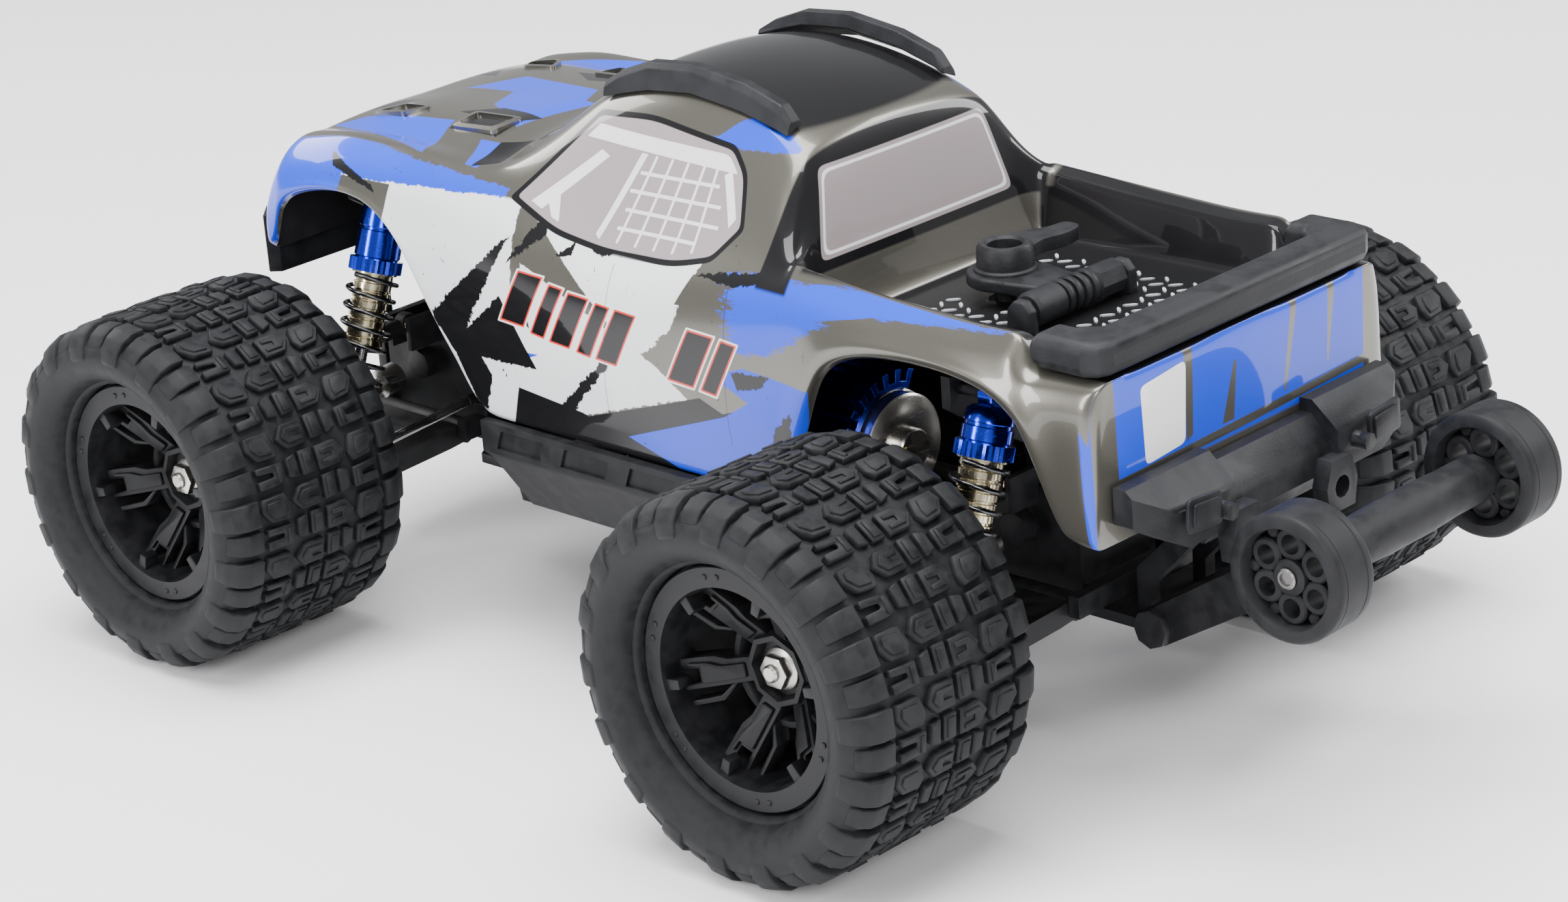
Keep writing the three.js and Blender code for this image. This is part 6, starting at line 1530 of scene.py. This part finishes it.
def link_piece(corner):
    """Turned steel link with plastic ends holding copper balls."""
    side, y = side_of(corner), axle_y(corner)
    inner = spot(side * LINK_PIVOT[0], y, LINK_PIVOT[1])
    outer = spot(side * LINK_END[0], y, LINK_END[1])
    along = (outer - inner).normalized()
    bm = bmesh.new()
    rod(bm, 1.4 * MM, inner + along * 8 * MM, outer - along * 8 * MM, 16)
    mid = (inner + outer) / 2
    lathe(bm, [(-2 * MM, 0), (-2 * MM, 2.0 * MM), (2 * MM, 2.0 * MM), (2 * MM, 0)], mid, along, 6)
    finish_piece(
        f"{corner}_link_rod", bm, MATERIALS["steel"], f"{corner}_link", (f"{corner}_upper_link",)
    )
    bm = bmesh.new()
    for point, way in ((inner, 1), (outer, -1)):
        add_eye(bm, point, 2.9 * MM, 1.7 * MM, 1.9 * MM)
        rod(bm, 2.1 * MM, point + along * way * 2.2 * MM, point + along * way * 9 * MM, 16, 0.4 * MM)
    finish_piece(f"{corner}_link_ends", bm, MATERIALS["arm"], f"{corner}_link")
    bm = bmesh.new()
    for point in (inner, outer):
        ball = bmesh.ops.create_uvsphere(bm, u_segments=20, v_segments=12, radius=2.15 * MM)["verts"]
        bmesh.ops.translate(bm, vec=point, verts=ball)
    finish_piece(f"{corner}_link_balls", bm, MATERIALS["copper"], f"{corner}_link")


def driveshaft_piece(corner):
    side, y = side_of(corner), axle_y(corner)
    inner, outer = spot(side * 24, y, 49.5), spot(side * 57.4, y, 45.2)
    along = outer - inner
    reach = along.length
    bm = bmesh.new()
    lathe(bm, [
        (0, 0), (0, 3.2 * MM), (0.5 * MM, 3.7 * MM), (6 * MM, 3.7 * MM), (6.6 * MM, 2.2 * MM),
        (reach - 6.2 * MM, 2.2 * MM), (reach - 5.6 * MM, 3.5 * MM), (reach - 0.5 * MM, 3.5 * MM),
        (reach, 3.0 * MM), (reach, 0),
    ], inner, along, 28)
    upright = Vector((0, 0, 1))
    for place in (3.2 * MM, reach - 2.8 * MM):
        point = inner + along.normalized() * place
        rod(bm, 1.0 * MM, point - upright * 3.6 * MM, point + upright * 3.6 * MM, 12)
    finish_piece(
        f"{corner}_shaft", bm, MATERIALS["silver"], f"{corner}_driveshaft",
        (f"{corner}_driveshaft",),
    )


def hinge_hardware(corner):
    """Screw heads at the outer ends of the arm's hinge pin."""
    side, y = side_of(corner), axle_y(corner)
    bm = bmesh.new()
    for way in (-1, 1):
        place = spot(side * ARM_END[0], y + way * 11.2, ARM_END[1])
        lathe(bm, mm_points([(0, 0), (0, 2.0), (0.9, 1.9), (1.0, 1.6), (1.0, 0.9), (0.4, 0.7), (0.4, 0)]),
              place, (0, way, 0), 20)
    finish_piece(f"{corner}_pin_screws", bm, MATERIALS["dark_steel"], f"{corner}_arm")


class SuspensionSettings(bpy.types.PropertyGroup):
    wire: FloatProperty(name="Wire", description="Spring wire diameter", default=1.15 * MM, unit="LENGTH")
    coil_radius: FloatProperty(name="Coil radius", description="Mean radius of the coils", default=6.0 * MM,
                               unit="LENGTH")
    front_turns: IntProperty(name="Front turns", description="Coils in each front spring", default=8, min=3)
    rear_turns: IntProperty(name="Rear turns", description="Coils in each rear spring", default=6, min=3)


class TRUCK_OT_shocks(bpy.types.Operator):
    """Builds the four oil shocks and their coil springs"""
    bl_idname = "truck.shocks"
    bl_label = "Shocks and springs"

    def execute(self, context):
        for corner in CORNERS:
            shock_pieces(corner)
            coil_spring(corner, context.scene.truck_suspension)
        return {"FINISHED"}


class TRUCK_OT_arms(bpy.types.Operator):
    """Builds the arms, links, hub carriers, knuckles and driveshafts"""
    bl_idname = "truck.arms"
    bl_label = "Arms and links"

    def execute(self, context):
        for corner in CORNERS:
            eased_copy(f"{corner}_lower_arm", MATERIALS["arm"], 0.6 * MM)
            link_piece(corner)
            driveshaft_piece(corner)
            hinge_hardware(corner)
            if corner.startswith("front"):
                eased_copy(f"{corner}_c_hub", MATERIALS["arm"], 0.4 * MM)
                eased_copy(f"{corner}_knuckle", MATERIALS["arm"], 0.3 * MM)
            else:
                eased_copy(f"{corner}_hub_carrier", MATERIALS["arm"], 0.4 * MM)
        return {"FINISHED"}


# ---- Chassis, bumpers and drive ----

def screw_head(bm, point, direction, radius=1.9 * MM, height=0.9 * MM):
    """A round socket-head screw seen from its head."""
    rim = radius * 0.62
    lathe(bm, [
        (-0.4 * MM, 0), (-0.4 * MM, radius), (height * 0.6, radius), (height, radius * 0.82), (height, rim),
        (height * 0.3, rim * 0.9), (height * 0.3, 0),
    ], point, direction, 20)


class TRUCK_OT_chassis(bpy.types.Operator):
    """Builds the chassis tub, bulkheads and bumpers with their screws and light pockets"""
    bl_idname = "truck.chassis"
    bl_label = "Chassis and bumpers"

    def execute(self, context):
        for node, width in (("chassis", 0.5), ("front_bulkhead", 0.5), ("rear_bulkhead", 0.5)):
            eased_copy(node, MATERIALS["chassis"], width * MM)
        for node in ("front_bumper", "rear_bumper"):
            eased_copy(node, MATERIALS["trim"], 0.7 * MM)
        bm = bmesh.new()
        face_y = (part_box("rear_bumper")[1].y - MID_Y) / MM - 2
        for side in (-1, 1):
            frame_outline = rounded([(26, 69.5), (37.5, 70.5), (37, 78), (26, 77)], 1.2, 3)
            hole = [(31.6 + (x - 31.6) * 0.78, 73.7 + (z - 73.7) * 0.7) for x, z in frame_outline]
            for outline, start, end in ((frame_outline, -0.3, 0.7), (hole, 0.5, 1.3)):
                points = [(side * x * MM, z * MM) for x, z in outline]
                y = spot(0, face_y, 0).y
                plate(bm, points, "Y", y + start * MM, y + end * MM, 0.25 * MM)
        finish_piece("rear_light_pockets", bm, MATERIALS["trim"], "chassis")
        bm = bmesh.new()
        for y in (-30, -8, 14, 36, 54):
            for side in (-1, 1):
                screw_head(bm, spot(side * 33, y, 33.1), (0, 0, -1))
        for corner in ("front_left", "rear_left"):
            base = axle_y(corner)
            for side in (-1, 1):
                for y in (-12, 12):
                    screw_head(bm, spot(side * 9, base + y, 60.0), (0, 0, 1))
                for offset in (0, 8):
                    screw_head(bm, spot(side * 6, base + 5.2, 62 + offset), (0, 1, 0), 1.5 * MM)
        finish_piece("chassis_screws", bm, MATERIALS["dark_steel"], "chassis")
        return {"FINISHED"}


def smooth_run(points, count=10):
    """A smooth curve through points, as a denser run of points."""
    ends = [points[0] * 2 - points[1]] + list(points) + [points[-1] * 2 - points[-2]]
    run = []
    for p0, p1, p2, p3 in zip(ends, ends[1:], ends[2:], ends[3:]):
        for k in range(count):
            t = k / count
            run.append(0.5 * (
                p1 * 2 + (p2 - p0) * t + (p0 * 2 - p1 * 5 + p2 * 4 - p3) * t ** 2
                + (p1 * 3 - p0 - p2 * 3 + p3) * t ** 3
            ))
    run.append(points[-1])
    return run


class TRUCK_OT_drive(bpy.types.Operator):
    """Builds the motor, heat sink, shafts, steering gear, battery, speed controller and wires"""
    bl_idname = "truck.drive"
    bl_label = "Drive and electronics"

    def execute(self, context):
        eased_copy("centre_shaft", MATERIALS["dark_steel"], 0.12 * MM)
        eased_copy("motor_pinion", MATERIALS["steel"], 0.1 * MM)
        eased_copy("motor_heatsink", MATERIALS["blue_metal"], 0.2 * MM)
        eased_copy("steering_rack", MATERIALS["arm"], 0.3 * MM)
        eased_copy("steering_servo", MATERIALS["case"], 0.5 * MM)
        eased_copy("battery", MATERIALS["battery"], 1.6 * MM)

        low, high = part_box("motor")
        middle = (low + high) / 2
        length = high.y - low.y
        bm = bmesh.new()
        lathe(bm, [
            (0, 0), (0, 12.4 * MM), (0.6 * MM, 13 * MM), (length - 7 * MM, 13 * MM),
            (length - 6.8 * MM, 12.6 * MM),
            (length - 3.6 * MM, 12.6 * MM), (length - 3 * MM, 11.8 * MM), (length - 3 * MM, 5 * MM),
            (length - 0.4 * MM, 5 * MM), (length, 4.6 * MM), (length, 0),
        ], Vector((middle.x, low.y, middle.z)), (0, 1, 0), 48)
        finish_piece("motor_can", bm, MATERIALS["silver"], "chassis", ("motor",))

        for side, word in ((1, "left"), (-1, "right")):
            node = f"tie_rod_{word}"
            inner, outer = spot(side * 15, -75, 47.5), spot(side * 61, -75, 44)
            along = (outer - inner).normalized()
            bm = bmesh.new()
            rod(bm, 1.2 * MM, inner + along * 2 * MM, outer - along * 2 * MM, 16)
            finish_piece(f"{node}_bar", bm, MATERIALS["steel"], node, (node,))
            bm = bmesh.new()
            for point, way in ((inner, 1), (outer, -1)):
                up = Vector((0, 0, 1.6 * MM))
                rod(bm, 1.5 * MM, point - up, point + up, 20, 0.3 * MM)
                rod(bm, 1.35 * MM, point + along * way * 1.0 * MM, point + along * way * 8 * MM, 14, 0.1 * MM)
            finish_piece(f"{node}_ends", bm, MATERIALS["arm"], node)

        bm = bmesh.new()
        block(bm, spot(14, -10, 36), spot(34, 20, 49), 1.2 * MM)
        for index in range(8):
            x = 16 + index * 2.2
            block(bm, spot(x, -7, 48.6), spot(x + 1, 17, 53), 0.2 * MM, 1)
        block(bm, spot(15, -32, 36), spot(32, -14, 47), 1.0 * MM)
        finish_piece("speed_controller_and_receiver", bm, MATERIALS["case"], "chassis")
        for index, key in enumerate(("red_wire", "dark", "yellow_wire")):
            bm = bmesh.new()
            shift = index * 2.4
            run = smooth_run([
                spot(20 + shift, 19, 44), spot(25 + shift, 26, 45), spot(35 + shift * 0.4, 34, 48),
                spot(36 + shift * 0.4, 50, 52), spot(31, 67.5 + shift * 0.3, 58),
                spot(17, 68.5, 60 + shift * 0.6),
            ])
            add_tube(bm, run, 0.9 * MM, 2)
            finish_piece(f"motor_wire_{index}", bm, MATERIALS[key], "chassis")
        return {"FINISHED"}


# ---- Trim, latch and wheelie bar ----

class TRUCK_OT_trim(bpy.types.Operator):
    """Builds the roof rails and the rounded rail round the bed"""
    bl_idname = "truck.trim"
    bl_label = "Roof and bed rails"

    def execute(self, context):
        eased_copy("bed_rail", MATERIALS["trim"], 1.3 * MM, 28)
        for word in ("left", "right"):
            eased_copy(f"roof_rail_{word}", MATERIALS["trim"], 0.5 * MM, 22)
        return {"FINISHED"}


LATCH_Y, LATCH_Z, POST_Y, PLATE_TOP = 106, 101.6, 87, 103.8


class TRUCK_OT_latch(bpy.types.Operator):
    """Builds the body latch: barrel, plate, ring and wing"""
    bl_idname = "truck.latch"
    bl_label = "Body latch"

    def execute(self, context):
        bm = bmesh.new()
        y0 = MID_Y / MM
        round_end = arc((0, POST_Y), 9.0, 25, -205, 20)
        outline = [(5.2, LATCH_Y + 1), (8.0, 93)] + round_end + [(-8.0, 93), (-5.2, LATCH_Y + 1)]
        points = [(x * MM, (y + y0) * MM) for x, y in outline]
        plate(bm, points, "Z", (PLATE_TOP - 3) * MM, PLATE_TOP * MM, 0.7 * MM, 3)
        ring = [(-1, 4.0), (-1, 7.4), (0.6, 7.2), (1.0, 6.6), (5.2, 6.4), (6.2, 5.6), (6.2, 4.6), (5.6, 4.0),
                (-1, 4.0)]
        lathe(bm, mm_points(ring), spot(0, POST_Y, PLATE_TOP), (0, 0, 1), 40)
        wing = rounded([
            (-4, 82.5), (-9, 80.5), (-16, 85.5), (-22, 86), (-22, 91), (-15, 92), (-9, 90), (-4, 91.5)
        ], 2.2)
        points = [(x * MM, (y + y0) * MM) for x, y in wing]
        plate(bm, points, "Z", (PLATE_TOP + 1.6) * MM, (PLATE_TOP + 5) * MM, 0.8 * MM, 3)
        radius = 4.1
        rod(bm, radius * MM, spot(5.4, LATCH_Y, LATCH_Z), spot(15, LATCH_Y, LATCH_Z), 36, 0.7 * MM)
        lathe(bm, mm_points([(0, 0), (0, 3.2), (0.8, radius), (8.8, radius), (9.6, 3.2), (9.6, 0)]),
              spot(-15, LATCH_Y, LATCH_Z), (1, 0, 0), 8)
        rod(bm, (radius - 1.0) * MM, spot(-6, LATCH_Y, LATCH_Z), spot(6, LATCH_Y, LATCH_Z), 28)
        for x in (-4.4, -1.6, 1.2, 4.0):
            start, end = spot(x - 0.8, LATCH_Y, LATCH_Z), spot(x + 0.8, LATCH_Y, LATCH_Z)
            rod(bm, radius * MM, start, end, 32, 0.4 * MM)
        finish_piece("latch", bm, MATERIALS["trim"], "latch", ("body_latch",), 42)
        return {"FINISHED"}


def build_small_wheel():
    bm = bmesh.new()
    band = [
        (-6, 11.0), (-6, 13.1), (-5.6, 13.7), (-5, 14), (-3.6, 14), (-3.4, 13.8), (-3.2, 14), (3.2, 14),
        (3.4, 13.8), (3.6, 14), (5, 14), (5.6, 13.7), (6, 13.1), (6, 11.0), (5.2, 10.6), (-5.2, 10.6),
        (-6, 11.0),
    ]
    lathe(bm, mm_points(band), (0, 0, 0), (1, 0, 0), 72)
    lathe(bm, mm_points([(-5.5, 2.35), (-5.5, 3.6), (4.2, 3.9), (4.6, 3.4), (4.6, 2.35), (-5.5, 2.35)]),
          (0, 0, 0), (1, 0, 0), 32)
    for index in range(6):
        y, z = angled(7.0, 60 * index + 30)
        ring = [(-3.6, 2.15), (-3.6, 3.2), (-3.2, 3.6), (3.2, 3.6), (3.6, 3.2), (3.6, 2.15), (-3.6, 2.15)]
        lathe(bm, mm_points(ring), (0, y, z), (1, 0, 0), 24)
        y, z = angled(9.8, 60 * index)
        rod(bm, 1.4 * MM, (-3 * MM, y, z), (3 * MM, y, z), 14, 0.4 * MM)
    bmesh.ops.recalc_face_normals(bm, faces=bm.faces)
    return bm


class TRUCK_OT_wheelie(bpy.types.Operator):
    """Builds the wheelie bar and its two small wheels"""
    bl_idname = "truck.wheelie"
    bl_label = "Wheelie bar"

    def execute(self, context):
        eased_copy("wheelie_bar", MATERIALS["chassis"], 0.45 * MM)
        low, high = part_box("wheelie_wheel_left")
        middle = (low + high) / 2
        bm = bmesh.new()
        sleeve = [(0, 0), (0, 4.2), (2, 5.0), (10, 5.7), (18, 5.7), (26, 5.0), (28, 4.2), (28, 0)]
        half = middle.x - 7.0 * MM
        profile = [(along / 28 * 2 * half, radius * MM) for along, radius in sleeve]
        lathe(bm, profile, Vector((-half, middle.y, middle.z)), (1, 0, 0), 40)
        finish_piece("wheelie_axle_tube", bm, MATERIALS["chassis"], "chassis")
        source = build_small_wheel()
        for word, side in (("left", 1), ("right", -1)):
            node = f"wheelie_wheel_{word}"
            bm = source.copy()
            place = Matrix.Translation((side * middle.x, middle.y, middle.z))
            matrix = place @ Matrix.Diagonal((side, 1, 1, 1))
            bmesh.ops.transform(bm, matrix=matrix, verts=bm.verts)
            if side < 0:
                bmesh.ops.reverse_faces(bm, faces=bm.faces)
            finish_piece(
                f"{node}_ringed", bm, MATERIALS["chassis"], node, (node,), 38, False
            )
            bm = bmesh.new()
            screw_head(bm, Vector((side * (middle.x + 4.6 * MM), middle.y, middle.z)), (side, 0, 0), 2.3 * MM)
            finish_piece(f"{node}_screw", bm, MATERIALS["dark_steel"], "chassis")
        source.free()
        return {"FINISHED"}


# ---- Details on the shell ----

def shell_height(x, y):
    """Height of the shell's upper lines at a place, in millimetres."""
    points = [point_on_line(line, y) for line in SHELL_LINES[:6]]
    for a, b in zip(points, points[1:]):
        if a.x <= x * MM <= b.x:
            return (a.z + (b.z - a.z) * (x * MM - a.x) / (b.x - a.x)) / MM
    return points[-1].z / MM


def add_vent(bm, corners):
    """A raised lip round a four-sided hood vent, following the hood."""
    outer = rounded(corners, 1.6, 3)
    cx = sum(x for x, _ in corners) / 4
    cy = sum(y for _, y in corners) / 4
    inner = [(cx + (x - cx) * 0.74, cy + (y - cy) * 0.80) for x, y in outer]
    low_ring, top_ring, inner_top, inner_low = [], [], [], []
    for (x, y), (u, v) in zip(outer, inner):
        z, w = shell_height(abs(x), y), shell_height(abs(u), v)
        low_ring.append(bm.verts.new(spot(x, y, z - 0.6)))
        top_ring.append(bm.verts.new(spot(x * 0.995 + u * 0.005, y, z + 0.55)))
        inner_top.append(bm.verts.new(spot(u, v, w + 0.7)))
        inner_low.append(bm.verts.new(spot(u, v, w - 0.3)))
    count = len(outer)
    rings = (low_ring, top_ring, inner_top, inner_low)
    for a, b in zip(rings, rings[1:] + rings[:1]):
        for i in range(count):
            bm.faces.new((a[i], a[(i + 1) % count], b[(i + 1) % count], b[i]))


class TRUCK_OT_shell_details(bpy.types.Operator):
    """Builds the latch's lugs and pin, the bed's tread-plate dashes and the hood vents"""
    bl_idname = "truck.shell_details"
    bl_label = "Shell details"

    def execute(self, context):
        bm = bmesh.new()
        for side in (-1, 1):
            outline = [
                (102.4, 96.4), (109.6, 96.4), (109.2, 102.5), (107.4, 104.6), (104.6, 104.6), (102.8, 102.5)
            ]
            points = [(y * MM + MID_Y, z * MM) for y, z in outline]
            ends = sorted((side * 15.6 * MM, side * 18.4 * MM))
            plate(bm, points, "X", ends[0], ends[1], 0.4 * MM)
        rod(bm, 1.5 * MM, spot(-17, LATCH_Y, LATCH_Z), spot(17, LATCH_Y, LATCH_Z), 20, 0.3 * MM)
        finish_piece("latch_lugs", bm, MATERIALS["trim"], "shell")

        bm = bmesh.new()
        for row, y in enumerate(range(78, 142, 4)):
            for column in range(-7, 8):
                x = column * 4.0 + (2.0 if row % 2 else 0)
                near_latch = abs(x) < 20 and 98 < y < 112 or math.hypot(x, y - POST_Y) < 10.5
                if abs(x) > 29 or near_latch or (x < -2 and 80 < y < 94 and x > -24):
                    continue
                turn = Matrix.Rotation(math.radians(45 if (row + column) % 2 else -45), 4, "Z")
                dash = [(-1.7, 0), (-0.9, -0.4), (0.9, -0.4), (1.7, 0), (0.9, 0.4), (-0.9, 0.4)]
                new = plate(bm, mm_points(dash), "Z", -0.3 * MM, 0.35 * MM)
                bmesh.ops.transform(bm, matrix=Matrix.Translation(spot(x, y, 97.0)) @ turn, verts=new)
        finish_piece("tread_plate_dashes", bm, MATERIALS["dash"], "shell")

        bm = bmesh.new()
        for side in (-1, 1):
            for corners in (
                [(19.5, -64), (29, -63), (28.5, -48), (19.5, -47)],
                [(19.5, -90), (26.5, -95), (27, -83), (20.5, -79)],
            ):
                add_vent(bm, [(side * x, y) for x, y in corners])
        finish_piece("hood_vent_lips", bm, MATERIALS["vent_lip"], "shell", sharp=50)
        return {"FINISHED"}


# ---- Panel and start ----

STEPS = (
    "stage", "shell", "shell_details", "trim", "latch", "chassis", "drive", "wheelie", "arms", "shocks",
    "rims",
    "tyres",
)
SETTINGS = {
    "truck_stage": StageSettings, "truck_shell": ShellSettings, "truck_wheels": WheelSettings,
    "truck_suspension": SuspensionSettings,
}


class TRUCK_PT_sidebar(bpy.types.Panel):
    """Lists the truck's pieces and their settings"""
    bl_idname = "TRUCK_PT_sidebar"
    bl_label = "Monster truck"
    bl_space_type = "VIEW_3D"
    bl_region_type = "UI"
    bl_category = "Truck"

    def draw(self, context):
        layout = self.layout
        for step in STEPS:
            layout.operator(f"truck.{step}")
        for key, settings in SETTINGS.items():
            box = layout.box()
            for field in settings.__annotations__:
                box.prop(getattr(context.scene, key), field)


CLASSES = (
    StageSettings, ShellSettings, WheelSettings, SuspensionSettings, TRUCK_OT_stage, TRUCK_OT_shell,
    TRUCK_OT_shell_details, TRUCK_OT_trim, TRUCK_OT_latch, TRUCK_OT_chassis, TRUCK_OT_drive, TRUCK_OT_wheelie,
    TRUCK_OT_arms, TRUCK_OT_shocks, TRUCK_OT_rims, TRUCK_OT_tyres, TRUCK_PT_sidebar,
)


def register():
    for item in CLASSES:
        bpy.utils.register_class(item)
    for key, settings in SETTINGS.items():
        setattr(bpy.types.Scene, key, PointerProperty(type=settings))


def unregister():
    for key in SETTINGS:
        delattr(bpy.types.Scene, key)
    for item in reversed(CLASSES):
        bpy.utils.unregister_class(item)


def main():
    register()
    build_groups()
    build_plain_materials()
    for step in STEPS:
        getattr(bpy.ops.truck, step)()


if __name__ == "__main__":
    main()
